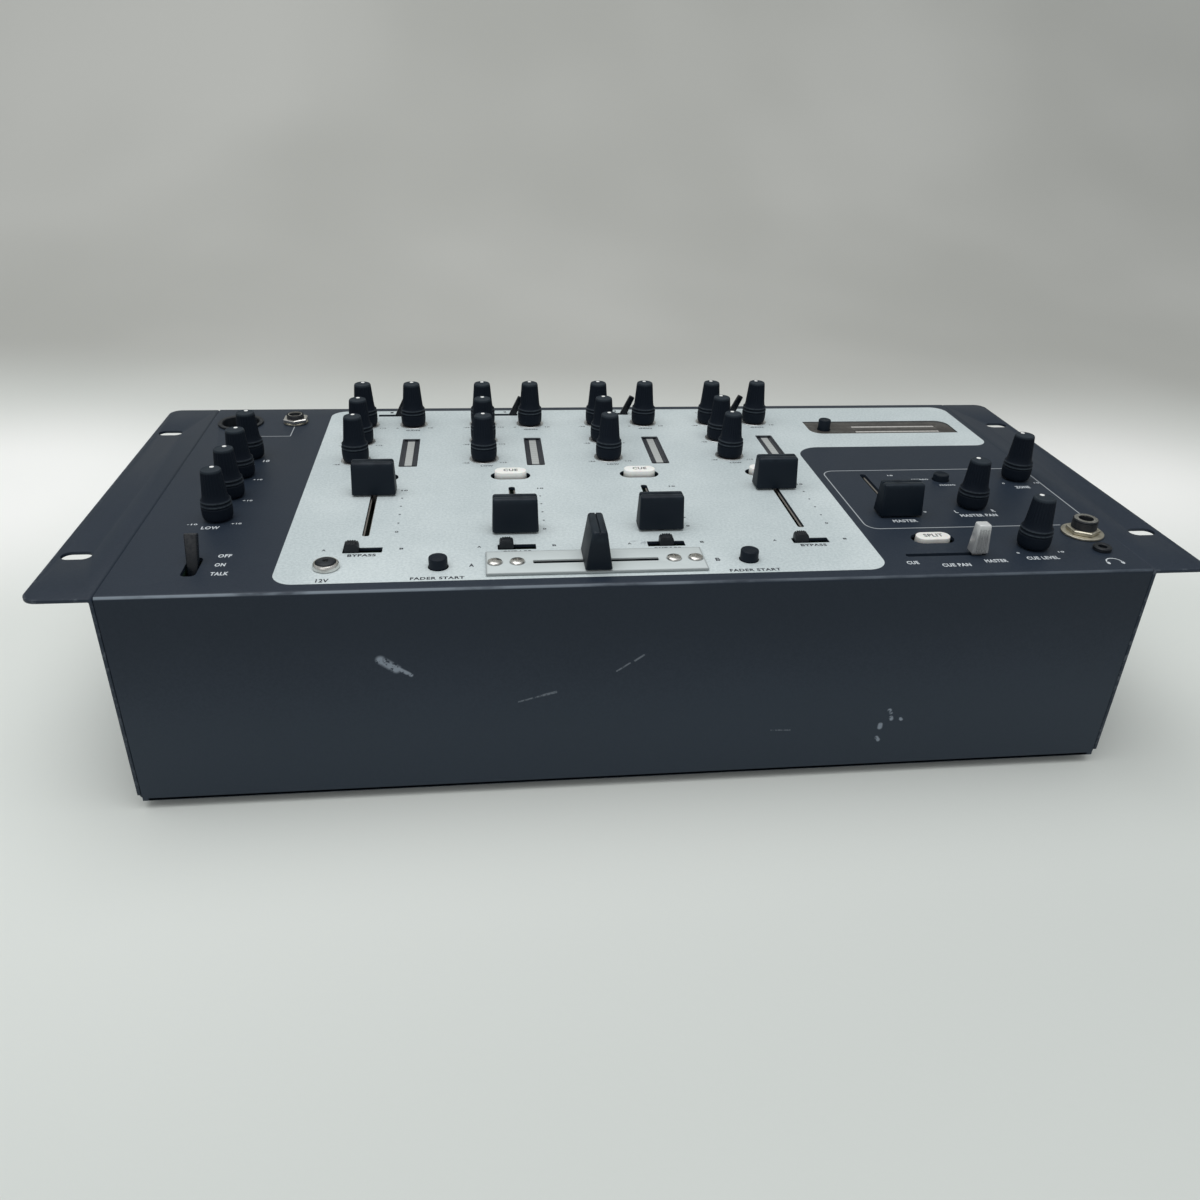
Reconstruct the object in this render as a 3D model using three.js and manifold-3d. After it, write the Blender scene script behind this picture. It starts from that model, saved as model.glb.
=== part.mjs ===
// A 19-inch rack-mount DJ mixer: folded steel case, four channels, microphone and master sections.
// Millimetres, +Z up. X runs along the front, Y towards the rear, and the feet stand on Z = 0.
// The panel layout is written about the middle of the case; the outer group centres the whole
// object, rear sockets included, on the origin.
import * as THREE from 'three';
import { mergeVertices } from 'three/addons/utils/BufferGeometryUtils.js';
import Module from 'manifold-3d';

const wasm = await Module();
wasm.setup();

// ---- case ----
const RACK_WIDTH = 482.6;          // 19-inch rack panel over the ears
const RACK_DEPTH = 221.5;          // five rack units, front edge to rear edge
const RACK_SLOT_SPAN_X = 465.1;    // rack screw spacing across
const RACK_SLOT_SPAN_Y = 146.05;   // rack screw spacing along the ear
const RACK_SLOT = { length: 12, width: 7 };
const CASE_WIDTH = 432.6;          // over the side walls
const CASE_HEIGHT = 98.6;          // case bottom to panel
const SHEET = 1.5;                 // steel thickness
const GAP = 0.3;                   // clearance between neighbouring pieces
const FOOT = { height: 4.5, radius: 8, inset_x: 26, inset_y: 22 };
const EAR_DROP = 0.6;              // the ears sit this far below the panel face
const EAR_CORNER = 6;
const SMALL_CORNER = 0.5;         // corners left almost square
const FOLD_RADIUS = 2;             // outside radius of the folded sheet
const REAR_PROUD = 8;              // how far the rear sockets stand out
const RELIEF = { width: 8, height: 3 };    // notch where the folds meet at each lower corner
const FOOT_SEGMENTS = 12;

const CASE_BOTTOM = FOOT.height;
const PANEL = CASE_BOTTOM + CASE_HEIGHT;
const UNDERSIDE = PANEL - SHEET;
const HALF_DEPTH = RACK_DEPTH / 2;
const COVER_WIDTH = CASE_WIDTH - 2 * (SHEET + GAP);

// ---- panel layout ----
const CHANNELS = 4;
const CHANNEL_PITCH = 64.3;
const CROSSFADER = { x: -21.7, y: -92 };
const FADER_X = (channel) => CROSSFADER.x + (channel - (CHANNELS + 1) / 2) * CHANNEL_PITCH;
const EQ_OFFSET_X = -12.75;        // tone knobs left of the channel's fader line
const METER_OFFSET_X = 13.4;       // gain knob and meter right of it
const KNOB_ROWS = { high: 81, mid: 54.3, low: 27.6 };
const SOURCE_TOGGLE_Y = 96.8;
const CUE_Y = 4.4;
const ASSIGN_Y = -75.4;
const FADER_SLOT = { y: -35.85, length: 52.1, width: 3.1 };
const MASTER_SLOT = { x: 124.6, y: -26.85 };
const CUE_PAN_SLOT = { x: 129.9, y: -92.2, length: 36, width: 2.6 };
const MIC = { x: -183.5, rows: { level: 34.7, high: 9.7, mid: -15.4, low: -40.5 } };
const TALK = { x: -184, y: -87 };
const CHANNEL_METER = { width: 9.2, length: 40.2, y: 38.1 };
const LEVEL_WINDOW = { x: 160.2, y: 70, width: 86, depth: 20.4, corner: 7 };
const FADER_START = { offset_x: 64.7, radius: 3.9, height: 4.6 };
const MASTER_KNOBS = [
  { name: 'master_pan_knob', x: 164, y: -42.3 },
  { name: 'zone_level_knob', x: 202.8, y: -9 },
  { name: 'cue_level_knob', x: 172.3, y: -86.4 },
];
const METER_BUTTON = { x: 126.3, y: 68, radius: 3.5, height: 5.6 };
const MONO_BUTTON = { x: 162.9, y: -9.3, radius: 3.9, height: 3.3 };
const SPLIT = { x: 130.5, y: -76.4 };
const COMBO = { x: -198.5, y: 85.5 };
const MIC_JACK = { x: -169.2, y: 86 };
const HEADPHONE_JACK = { x: 202.3, y: -74.6 };
const MINI_JACK = { x: 202.1, y: -91.4 };
const LAMP = { x: -131.1, y: -90.5 };

// ---- controls ----
const KNOB = { skirt: 6.65, collar: 4.8, top: 4.25, height: 23.4, hover: 0.6, segments: 12 };
const LARGE_KNOB_SCALE = 1.07;
const SHAFT_RADIUS = 3;
const SHAFT_HOLE = 3.6;
const SHAFT_HOLE_SEGMENTS = 10;
const SHAFT_DEPTH = 9;             // shaft length below the panel face
const CAP = { length: 20.2, base: 10.3, top: 6.8, hover: 1, height: 16 };
const FADER_TRAVEL = 45;
const CAP_AT_TOP = 1.2;            // how far the raised faders stop short of their slot's end
const BLADE = { thickness: 1.6, length: 4, depth: 9.5 };
const PAN_CAP = { length: 5.6, base: 8.0, top: 5.6, height: 14.5 };
const PAN_TRAVEL = 28;
const CUE_CAP = { length: 16, width: 7.8, height: 2.9 };
const SPLIT_HEIGHT = 1.5;          // the split button is latched down
const CUE_HOLE = { length: 19.6, width: 9.9 };
const BUTTON_SKIRT_DEPTH = 4.5;    // button cap bottom below the panel face
const BUTTON_STEM = 3;
const BUTTON_STEM_DEPTH = 9.6;
const ROUND_BUTTON_HOLE_PLAY = 0.35;
const BUTTON_SEGMENTS = 12;
const ASSIGN = { slot: 16.3, width: 5, actuator: 6.6, height: 4.5, throw: 4.4 };
const TOGGLE = { slot: 14, width: 3.4, blade: 2.6, length: 21.5, tip: 3.2, root: 4.4, lean: 25, pivot: 9 };
const TALK_SLOT = { width: 6, depth: 16.5 };
const TALK_LEVER = { length: 19, root: 4.4, tip: 5.4, thickness: 3.2, lean: 20, pivot: 6 };
const CROSSFADER_CAP = { length: 20.8, base: 11.2, top: 6, height: 16.6 };
const CROSSFADER_OPENING = { length: 54.1, width: 6.1 };
const CROSSFADER_HOVER = 0.7;      // crossfader cap above its plate
const PLATE = { width: 91, depth: 20, thickness: 1 };

// ---- inside ----
const BOARD = { top: PANEL - 13.5, thickness: 1.6 };
const BOARD_SHEETS = [             // x from, x to, y from, y to
  [-159, 186, -104, 102],
  [180, 210, -60, 90],
  [-196, -155, -104, 60],
];
const GROOVE = { width: 3.4, floor: 1 };   // the slider bodies' grooves, and their floor above the board
const BUTTON_WELL = 4;             // square well that a button stem drops into
const POWER_SUPPLY = {
  x: 150, y: 45, width: 110, depth: 80, lift: 7.6,
  post: { radius: 3, x: 50, y: 35 },
  transformer: { x: 26, y: -14, width: 42, depth: 36, height: 30 },
  heatSink: { x: -30, y: 20, width: 8, depth: 30, height: 24 },
  capacitors: { x: [-32, -12], y: -18, radius: 8, height: 26 },
};
const BODY_TOP = UNDERSIDE - 0.8;  // tops of the control bodies under the panel
const ROUND = 14;                  // segments of round holes and sockets
const CORNER_SEGMENTS = 3;         // segments of a rounded corner
const EPS = 0.02;                  // overlap that makes two solids join

// ---- materials ----
const paint = { color: 0x3d4350, roughness: 0.55, metalness: 0.3 };
const blackPlastic = { color: 0x16181a, roughness: 0.6, metalness: 0 };
const whitePlastic = { color: 0xe9e7df, roughness: 0.4, metalness: 0 };
const clearPlastic = { color: 0xa9adb0, roughness: 0.25, metalness: 0.2 };
const steel = { color: 0xb9babd, roughness: 0.35, metalness: 0.9 };
const fibreglass = { color: 0x1f4a30, roughness: 0.6, metalness: 0 };

// ---- solids ----
// A closed three.js geometry as a solid: seams merged, zero-area triangles at a pole dropped.
function solid(geometry) {
  const bare = geometry.clone();
  bare.deleteAttribute('normal');
  bare.deleteAttribute('uv');
  const merged = mergeVertices(bare, 1e-4);
  const index = merged.index.array;
  const triangles = [];
  for (let i = 0; i < index.length; i += 3) {
    const [a, b, c] = index.slice(i, i + 3);
    if (a !== b && b !== c && c !== a) triangles.push(a, b, c);
  }
  const vertProperties = merged.attributes.position.array;
  const triVerts = Uint32Array.from(triangles);
  return new wasm.Manifold(new wasm.Mesh({ numProp: 3, vertProperties, triVerts }));
}

// The solid's surface as a three.js geometry.
function surface(body) {
  const mesh = body.getMesh();
  const geometry = new THREE.BufferGeometry();
  geometry.setAttribute('position', new THREE.BufferAttribute(mesh.vertProperties, 3));
  geometry.setIndex(new THREE.BufferAttribute(mesh.triVerts, 1));
  geometry.computeVertexNormals();
  return geometry;
}

function join(pieces) {
  return pieces.reduce((whole, piece) => whole.add(piece));
}

function cut(body, tools) {
  return tools.reduce((rest, tool) => rest.subtract(tool), body);
}

// A box centred on x, y between two heights.
function block(x, y, width, depth, low, high) {
  const geometry = new THREE.BoxGeometry(width, depth, high - low);
  return solid(geometry.translate(x, y, (low + high) / 2));
}

// An upright prism of a closed outline.
function prism(shape, x, y, low, high) {
  const settings = { depth: high - low, bevelEnabled: false, curveSegments: CORNER_SEGMENTS };
  return solid(new THREE.ExtrudeGeometry(shape, settings).translate(x, y, low));
}

// An upright cylinder.
function rod(x, y, radius, low, high, segments = ROUND) {
  const geometry = new THREE.CylinderGeometry(radius, radius, high - low, segments);
  return solid(geometry.rotateX(Math.PI / 2).translate(x, y, (low + high) / 2));
}

// A cylinder along Y, from the rear of the case outwards.
function rearRod(x, z, radius, near, far, segments = ROUND) {
  const geometry = new THREE.CylinderGeometry(radius, radius, far - near, segments);
  return solid(geometry.translate(x, (near + far) / 2, z));
}

// A turned piece about the upright line at x, y: [radius, height] from the foot up to the top.
function turned(profile, x, y, segments = ROUND) {
  const points = profile.map(([radius, height]) => new THREE.Vector2(radius, height));
  const geometry = new THREE.LatheGeometry(points, segments).rotateX(Math.PI / 2);
  return solid(geometry.translate(x, y, 0));
}

function roundedRectangle(width, depth, corners) {
  const [frontLeft, frontRight, backRight, backLeft] = corners;
  const w = width / 2;
  const d = depth / 2;
  const shape = new THREE.Shape();
  shape.moveTo(-w + frontLeft, -d);
  shape.lineTo(w - frontRight, -d);
  shape.absarc(w - frontRight, -d + frontRight, frontRight, -Math.PI / 2, 0, false);
  shape.lineTo(w, d - backRight);
  shape.absarc(w - backRight, d - backRight, backRight, 0, Math.PI / 2, false);
  shape.lineTo(-w + backLeft, d);
  shape.absarc(-w + backLeft, d - backLeft, backLeft, Math.PI / 2, Math.PI, false);
  shape.lineTo(-w, -d + frontLeft);
  shape.absarc(-w + frontLeft, -d + frontLeft, frontLeft, Math.PI, Math.PI * 1.5, false);
  return shape;
}

function stadium(length, width) {
  return roundedRectangle(length, width, Array(4).fill(width / 2 - EPS));
}

// ---- assembly ----
const mixer = new THREE.Group();
const layout = new THREE.Group();
layout.position.y = -REAR_PROUD / 2;
mixer.add(layout);

function place(name, body, finish) {
  const mesh = new THREE.Mesh(surface(body), new THREE.MeshStandardMaterial(finish));
  mesh.name = name;
  layout.add(mesh);
}

const channels = Array.from({ length: CHANNELS }, (_, i) => {
  const x = FADER_X(i + 1);
  return { number: i + 1, x, eqX: x + EQ_OFFSET_X, meterX: x + METER_OFFSET_X };
});

// Every knob on the panel, large ones with a scale.
const knobs = [
  ...Object.entries(MIC.rows).map(([role, y]) => ({ name: `mic_${role}_knob`, x: MIC.x, y })),
  ...channels.flatMap(({ number, eqX, meterX }) => [
    { name: `ch${number}_gain_knob`, x: meterX, y: KNOB_ROWS.high },
    ...Object.entries(KNOB_ROWS).map(([role, y]) => (
      { name: `ch${number}_${role}_knob`, x: eqX, y })),
  ]),
  ...MASTER_KNOBS.map((knob) => ({ ...knob, scale: LARGE_KNOB_SCALE })),
];

// Upright sliders: where each slot is, and where its cap stands at rest.
const FADER_REACH = FADER_TRAVEL / 2;
const faders = [
  ...channels.map(({ number, x }) => ({
    name: `ch${number}_fader`,
    x,
    y: FADER_SLOT.y,
    rest: number === 1 || number === CHANNELS ? FADER_REACH - CAP_AT_TOP : -FADER_REACH,
  })),
  { name: 'master_fader', x: MASTER_SLOT.x, y: MASTER_SLOT.y, rest: -FADER_REACH },
];

const ovalButtons = [
  ...channels.map(({ number, x }) => (
    { name: `ch${number}_cue_button`, x, y: CUE_Y, height: CUE_CAP.height })),
  { name: 'split_cue_button', ...SPLIT, height: SPLIT_HEIGHT },
];

// The first three stand in holes of the panel, the last in the level window.
const faderStart = (side) => (
  { ...FADER_START, x: CROSSFADER.x + side * FADER_START.offset_x, y: CROSSFADER.y });
const panelButtons = [
  { name: 'fader_start_a_button', ...faderStart(-1) },
  { name: 'fader_start_b_button', ...faderStart(1) },
  { name: 'mono_stereo_button', ...MONO_BUTTON },
];
const roundButtons = [...panelButtons, { name: 'meter_mode_button', ...METER_BUTTON }];

// ---- top cover ----
// One sheet folded into front, top and rear, open at both sides and below.
function coverSheet() {
  const outline = new THREE.Shape();
  const y = HALF_DEPTH;
  const r = FOLD_RADIUS;
  const inner = r - SHEET;
  outline.moveTo(-y, CASE_BOTTOM);
  outline.lineTo(-y + SHEET, CASE_BOTTOM);
  outline.lineTo(-y + SHEET, PANEL - r);
  outline.absarc(-y + r, PANEL - r, inner, Math.PI, Math.PI / 2, true);
  outline.lineTo(y - r, UNDERSIDE);
  outline.absarc(y - r, PANEL - r, inner, Math.PI / 2, 0, true);
  outline.lineTo(y - SHEET, CASE_BOTTOM);
  outline.lineTo(y, CASE_BOTTOM);
  outline.lineTo(y, PANEL - r);
  outline.absarc(y - r, PANEL - r, r, 0, Math.PI / 2, false);
  outline.lineTo(-y + r, PANEL);
  outline.absarc(-y + r, PANEL - r, r, Math.PI / 2, Math.PI, false);
  outline.closePath();
  const settings = { depth: COVER_WIDTH, bevelEnabled: false, curveSegments: CORNER_SEGMENTS };
  const geometry = new THREE.ExtrudeGeometry(outline, settings);
  // The outline's X becomes the case's Y, its Y becomes Z, and the extrusion runs along X.
  geometry.rotateX(Math.PI / 2).rotateZ(Math.PI / 2).translate(-COVER_WIDTH / 2, 0, 0);
  return solid(geometry);
}

const HOLE_LOW = UNDERSIDE - 1;
const HOLE_HIGH = PANEL + 1;
const levelWindowShape = (play) => roundedRectangle(
  LEVEL_WINDOW.width - 2 * play,
  LEVEL_WINDOW.depth - 2 * play,
  [LEVEL_WINDOW.corner, SMALL_CORNER, LEVEL_WINDOW.corner, SMALL_CORNER],
);
const SOCKETS = [
  { ...COMBO, hole: 11.4 },
  { ...MIC_JACK, hole: 5 },
  { ...HEADPHONE_JACK, hole: 5.5 },
  { ...MINI_JACK, hole: 3.3 },
  { ...LAMP, hole: 4.4 },
];

function panelHoles() {
  const hole = (x, y, radius, segments) => rod(x, y, radius, HOLE_LOW, HOLE_HIGH, segments);
  const slot = (x, y, width, depth) => block(x, y, width, depth, HOLE_LOW, HOLE_HIGH);
  const shaped = (shape, x, y) => prism(shape, x, y, HOLE_LOW, HOLE_HIGH);
  const oval = stadium(CUE_HOLE.length, CUE_HOLE.width);
  const { width, length } = FADER_SLOT;
  const meter = [CHANNEL_METER.width, CHANNEL_METER.length];
  return [
    ...knobs.map(({ x, y }) => hole(x, y, SHAFT_HOLE, SHAFT_HOLE_SEGMENTS)),
    ...faders.map(({ x, y }) => slot(x, y, width, length)),
    slot(CROSSFADER.x, CROSSFADER.y, CROSSFADER_OPENING.length, CROSSFADER_OPENING.width),
    slot(CUE_PAN_SLOT.x, CUE_PAN_SLOT.y, CUE_PAN_SLOT.length, CUE_PAN_SLOT.width),
    slot(TALK.x, TALK.y, TALK_SLOT.width, TALK_SLOT.depth),
    ...channels.map(({ x }) => slot(x, SOURCE_TOGGLE_Y, TOGGLE.slot, TOGGLE.width)),
    ...channels.map(({ x }) => slot(x, ASSIGN_Y, ASSIGN.slot, ASSIGN.width)),
    ...channels.map(({ meterX }) => slot(meterX, CHANNEL_METER.y, ...meter)),
    ...ovalButtons.map(({ x, y }) => shaped(oval, x, y)),
    ...panelButtons.map(({ x, y, radius }) => hole(x, y, radius + ROUND_BUTTON_HOLE_PLAY)),
    shaped(levelWindowShape(0), LEVEL_WINDOW.x, LEVEL_WINDOW.y),
    ...SOCKETS.map(({ x, y, hole: radius }) => hole(x, y, radius)),
  ];
}

// ---- rear sockets ----
const REAR = HALF_DEPTH;
const PHONO = { rows: [34, 52], pitch: 15.5, pairs: 8, x: -186, barrel: 4.1, bore: 1.7, collar: 5.4 };
const OUTPUT = { x: [-30, 8], z: 43, radius: 10.9, bore: 8.4, proud: 0.6, bore_depth: 7.4 };
const LINE_JACK = { x: [42, 62], z: 43, barrel: 4.6, bore: 3.25, proud: 5, depth: 24, body: 12 };
const INLET = {
  x: 176, z: 42, flangeWidth: 50, flangeHeight: 26, width: 30, height: 23, proud: 2.4,
  depth: 20, wallX: 2.5, wallZ: 3, cavity: 14,
};
const REAR_HOLE_DEPTH = 3;
const JACK_BOARD = { x: -62, width: 270, low: 20, high: 66, setback: 8 };
const phonoPlaces = PHONO.rows.flatMap((z) =>
  Array.from({ length: PHONO.pairs }, (_, i) => ({ x: PHONO.x + i * PHONO.pitch, z })));

function rearHoles() {
  const hole = (x, z, radius, segments = 8) =>
    rearRod(x, z, radius + GAP, REAR - REAR_HOLE_DEPTH, REAR + 1, segments);
  const inletHalf = INLET.height / 2 + GAP;
  return [
    ...phonoPlaces.map(({ x, z }) => hole(x, z, PHONO.collar)),
    ...OUTPUT.x.map((x) => hole(x, OUTPUT.z, OUTPUT.radius, ROUND)),
    ...LINE_JACK.x.map((x) => hole(x, LINE_JACK.z, LINE_JACK.barrel)),
    block(INLET.x, REAR, INLET.width + 2 * GAP, 2 * REAR_HOLE_DEPTH,
      INLET.z - inletHalf, INLET.z + inletHalf),
  ];
}

place('top_cover', cut(coverSheet(), [...panelHoles(), ...rearHoles()]), paint);

// ---- chassis tray ----
// Floor, side walls and rack ears are one sheet; the four feet are fixed under the floor.
function chassisTray() {
  const wallX = (CASE_WIDTH - SHEET) / 2;
  const floorDepth = RACK_DEPTH - 2 * (SHEET + GAP);
  const earTop = PANEL - EAR_DROP;
  const earWidth = (RACK_WIDTH - CASE_WIDTH) / 2 + SHEET;
  const floor = block(0, 0, CASE_WIDTH, floorDepth, CASE_BOTTOM, CASE_BOTTOM + SHEET);
  const sides = [-1, 1].flatMap((side) => {
    const wall = block(side * wallX, 0, SHEET, RACK_DEPTH, CASE_BOTTOM, earTop);
    // Front left, front right, back right, back left: only the outer corners are rounded.
    const corners = side < 0
      ? [EAR_CORNER, SMALL_CORNER, SMALL_CORNER, EAR_CORNER]
      : [SMALL_CORNER, EAR_CORNER, EAR_CORNER, SMALL_CORNER];
    const earX = side * (RACK_WIDTH / 2 - earWidth / 2);
    const ear = prism(roundedRectangle(earWidth, RACK_DEPTH, corners), earX, 0, earTop - SHEET, earTop);
    return [wall, ear];
  });
  const feet = [-1, 1].flatMap((sx) => [-1, 1].map((sy) => {
    const x = sx * (CASE_WIDTH / 2 - FOOT.inset_x);
    const y = sy * (HALF_DEPTH - FOOT.inset_y);
    return rod(x, y, FOOT.radius, 0, CASE_BOTTOM + EPS, FOOT_SEGMENTS);
  }));
  const slots = [-1, 1].flatMap((sx) => [-1, 1].map((sy) => prism(
    stadium(RACK_SLOT.length, RACK_SLOT.width),
    sx * RACK_SLOT_SPAN_X / 2, sy * RACK_SLOT_SPAN_Y / 2, earTop - 2 * SHEET, earTop + 1,
  )));
  const reliefs = [-1, 1].flatMap((sx) => [-1, 1].map((sy) =>
    block(sx * CASE_WIDTH / 2, sy * HALF_DEPTH, RELIEF.width, 2 * (SHEET + GAP),
      CASE_BOTTOM - 1, CASE_BOTTOM + RELIEF.height)));
  return cut(join([floor, ...sides, ...feet]), [...slots, ...reliefs]);
}

place('chassis_tray', chassisTray(), paint);

// ---- control board ----
// The board hangs under the panel and carries every pot, fader, switch and meter as one unit.
function controlBoard() {
  const { top, thickness } = BOARD;
  const sheet = ([x0, x1, y0, y1]) =>
    block((x0 + x1) / 2, (y0 + y1) / 2, x1 - x0, y1 - y0, top - thickness, top);
  const on = (x, y, width, depth, high = BODY_TOP) => block(x, y, width, depth, top - EPS, high);
  const bore = ({ x, y }) => rod(x, y, SHAFT_HOLE, top - thickness - 1, PANEL, SHAFT_HOLE_SEGMENTS);
  const groove = (x, y, width, depth) => block(x, y, width, depth, top + GROOVE.floor, PANEL);
  const buttonTop = PANEL - BUTTON_SKIRT_DEPTH - 2.6;
  const windowTop = PANEL - 1;
  const meter = [CHANNEL_METER.width - 2 * GAP, CHANNEL_METER.length - 2 * GAP, windowTop];
  const bodies = [
    ...BOARD_SHEETS.map(sheet),
    ...knobs.map(({ x, y }) => on(x, y, 11, 10)),
    ...faders.map(({ x, y }) => on(x, y, 9, FADER_SLOT.length + 8)),
    on(CROSSFADER.x, CROSSFADER.y, FADER_SLOT.length + 8, 9),
    on(CUE_PAN_SLOT.x, CUE_PAN_SLOT.y, CUE_PAN_SLOT.length + 4, 7.5),
    on(TALK.x, TALK.y, 10, TALK_SLOT.depth + 4),
    ...channels.map(({ x }) => on(x, SOURCE_TOGGLE_Y - 1.6, TOGGLE.slot + 4, 9.4)),
    ...channels.map(({ x }) => on(x, ASSIGN_Y, ASSIGN.slot + 4, 8)),
    ...channels.map(({ meterX }) => on(meterX, CHANNEL_METER.y, ...meter)),
    ...ovalButtons.map(({ x, y }) => on(x, y, 8, 8, buttonTop)),
    ...panelButtons.map(({ x, y }) => on(x, y, 7, 7, buttonTop)),
    prism(levelWindowShape(GAP), LEVEL_WINDOW.x, LEVEL_WINDOW.y, top - EPS, windowTop),
  ];
  const hollows = [
    ...knobs.map(bore),
    ...faders.map(({ x, y }) => groove(x, y, GROOVE.width, FADER_SLOT.length)),
    groove(CROSSFADER.x, CROSSFADER.y, FADER_SLOT.length, GROOVE.width),
    groove(CUE_PAN_SLOT.x, CUE_PAN_SLOT.y, CUE_PAN_SLOT.length, GROOVE.width),
    groove(TALK.x, TALK.y, TALK_SLOT.width, TALK_SLOT.depth),
    ...channels.map(({ x }) => groove(x, SOURCE_TOGGLE_Y, TOGGLE.slot, TOGGLE.width)),
    ...channels.map(({ x }) => groove(x, ASSIGN_Y, ASSIGN.slot, ASSIGN.width)),
    ...[...ovalButtons, ...panelButtons].map(({ x, y }) => groove(x, y, BUTTON_WELL, BUTTON_WELL)),
    rod(METER_BUTTON.x, METER_BUTTON.y, METER_BUTTON.radius + ROUND_BUTTON_HOLE_PLAY,
      top + GROOVE.floor, PANEL, BUTTON_SEGMENTS),
  ];
  return cut(join(bodies), hollows);
}

place('control_board', controlBoard(), fibreglass);

// ---- power supply ----
function powerSupply() {
  const { x, y, width, depth, lift, post, transformer, heatSink, capacitors } = POWER_SUPPLY;
  const floorTop = CASE_BOTTOM + SHEET + GAP;
  const boardTop = floorTop + lift;
  const part = (piece) => block(
    x + piece.x, y + piece.y, piece.width, piece.depth, boardTop - EPS, boardTop + piece.height);
  const posts = [-1, 1].flatMap((sx) => [-1, 1].map((sy) =>
    rod(x + sx * post.x, y + sy * post.y, post.radius, floorTop, boardTop, 8)));
  const cans = capacitors.x.map((dx) => rod(
    x + dx, y + capacitors.y, capacitors.radius, boardTop - EPS, boardTop + capacitors.height));
  return join([
    block(x, y, width, depth, boardTop - BOARD.thickness, boardTop),
    ...posts,
    part(transformer),
    part(heatSink),
    ...cans,
  ]);
}

place('power_supply', powerSupply(), fibreglass);

// ---- rear jack board ----
// Phono pairs, balanced outputs and line jacks stand on one upright board behind the rear wall.
function rearJackBoard() {
  const face = REAR - SHEET - JACK_BOARD.setback;
  const { x: middle, width, low, high } = JACK_BOARD;
  const board = block(middle, face - BOARD.thickness / 2, width, BOARD.thickness, low, high);
  const phonos = phonoPlaces.flatMap(({ x, z }) => [
    rearRod(x, z, PHONO.collar, face - EPS, REAR + 0.5, 8),
    rearRod(x, z, PHONO.barrel, REAR, REAR + REAR_PROUD, 8),
  ]);
  const phonoBores = phonoPlaces.map(({ x, z }) =>
    rearRod(x, z, PHONO.bore, REAR + 1, REAR + REAR_PROUD + 1, 6));
  const outputs = OUTPUT.x.map((x) =>
    rearRod(x, OUTPUT.z, OUTPUT.radius, face - EPS, REAR + OUTPUT.proud));
  const outputBores = OUTPUT.x.map((x) =>
    rearRod(x, OUTPUT.z, OUTPUT.bore, REAR - OUTPUT.bore_depth, REAR + 1));
  const half = LINE_JACK.body / 2;
  const jackEnd = REAR + LINE_JACK.proud;
  const jacks = LINE_JACK.x.flatMap((x) => [
    rearRod(x, LINE_JACK.z, LINE_JACK.barrel, face - EPS, jackEnd, 8),
    block(x, face - 8, 14, 16, LINE_JACK.z - half, LINE_JACK.z + half),
  ]);
  const jackBores = LINE_JACK.x.map((x) =>
    rearRod(x, LINE_JACK.z, LINE_JACK.bore, jackEnd - LINE_JACK.depth, jackEnd + 1, 8));
  const bores = [...phonoBores, ...outputBores, ...jackBores];
  return cut(join([board, ...phonos, ...outputs, ...jacks]), bores);
}

place('rear_jack_board', rearJackBoard(), blackPlastic);

// ---- mains inlet ----
function mainsInlet() {
  const { x, z, proud } = INLET;
  const upright = (width, height, near, far) =>
    block(x, (near + far) / 2, width, far - near, z - height / 2, z + height / 2);
  const flange = upright(INLET.flangeWidth, INLET.flangeHeight, REAR + GAP, REAR + proud);
  const body = upright(INLET.width, INLET.height, REAR - INLET.depth, REAR + GAP + EPS);
  const cavityWidth = INLET.width - 2 * INLET.wallX;
  const cavityHeight = INLET.height - 2 * INLET.wallZ;
  const cavity = upright(cavityWidth, cavityHeight, REAR - INLET.cavity, REAR + proud + 1);
  return cut(join([flange, body]), [cavity]);
}

place('mains_inlet', mainsInlet(), blackPlastic);

// ---- panel sockets ----
// Each is a turned body: below the panel, through its hole, its nut or flange above, and its bore.
const SEAT = PANEL + GAP;
const BODY_LIP = UNDERSIDE - GAP;

place('mic_combo_socket', turned([
  [0, 66], [11.6, 66], [11.6, BODY_LIP], [11, BODY_LIP], [11, SEAT], [12, SEAT], [12, PANEL + 1.1],
  [9.7, PANEL + 1.1], [9.7, PANEL - 5], [3.3, PANEL - 5], [3.3, 72], [0, 72],
], COMBO.x, COMBO.y, 18), blackPlastic);

function quarterJack(spot, washer, nut, rim) {
  return turned([
    [0, 74], [8, 74], [8, BODY_LIP], [4.6, BODY_LIP], [4.6, SEAT], [washer, SEAT], [washer, SEAT + 0.8],
    [nut, SEAT + 0.8], [nut, SEAT + 2.8], [rim.radius, SEAT + 2.8], [rim.radius, PANEL + rim.height],
    [3.3, PANEL + rim.height], [3.3, 78], [0, 78],
  ], spot.x, spot.y, 14);
}

place('mic_jack', quarterJack(MIC_JACK, 7.1, 6.3, { radius: 4.6, height: 5 }), steel);
place('headphone_jack', quarterJack(HEADPHONE_JACK, 9.2, 6.9, { radius: 5.5, height: 7.5 }), steel);

place('mini_headphone_jack', turned([
  [0, 86], [4.5, 86], [4.5, BODY_LIP], [2.9, BODY_LIP], [2.9, SEAT], [3.95, SEAT], [3.95, PANEL + 1.4],
  [3.3, PANEL + 2], [1.8, PANEL + 2], [1.8, 89], [0, 89],
], MINI_JACK.x, MINI_JACK.y, 12), blackPlastic);

place('lamp_socket', turned([
  [0, 91], [5, 91], [5, BODY_LIP], [4, BODY_LIP], [4, SEAT], [5.35, SEAT], [5.35, PANEL + 1.8],
  [4.4, PANEL + 2.6], [4, PANEL + 3.4], [1.6, PANEL + 3.4], [1.6, 95], [0, 95],
], LAMP.x, LAMP.y, 14), steel);

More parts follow.
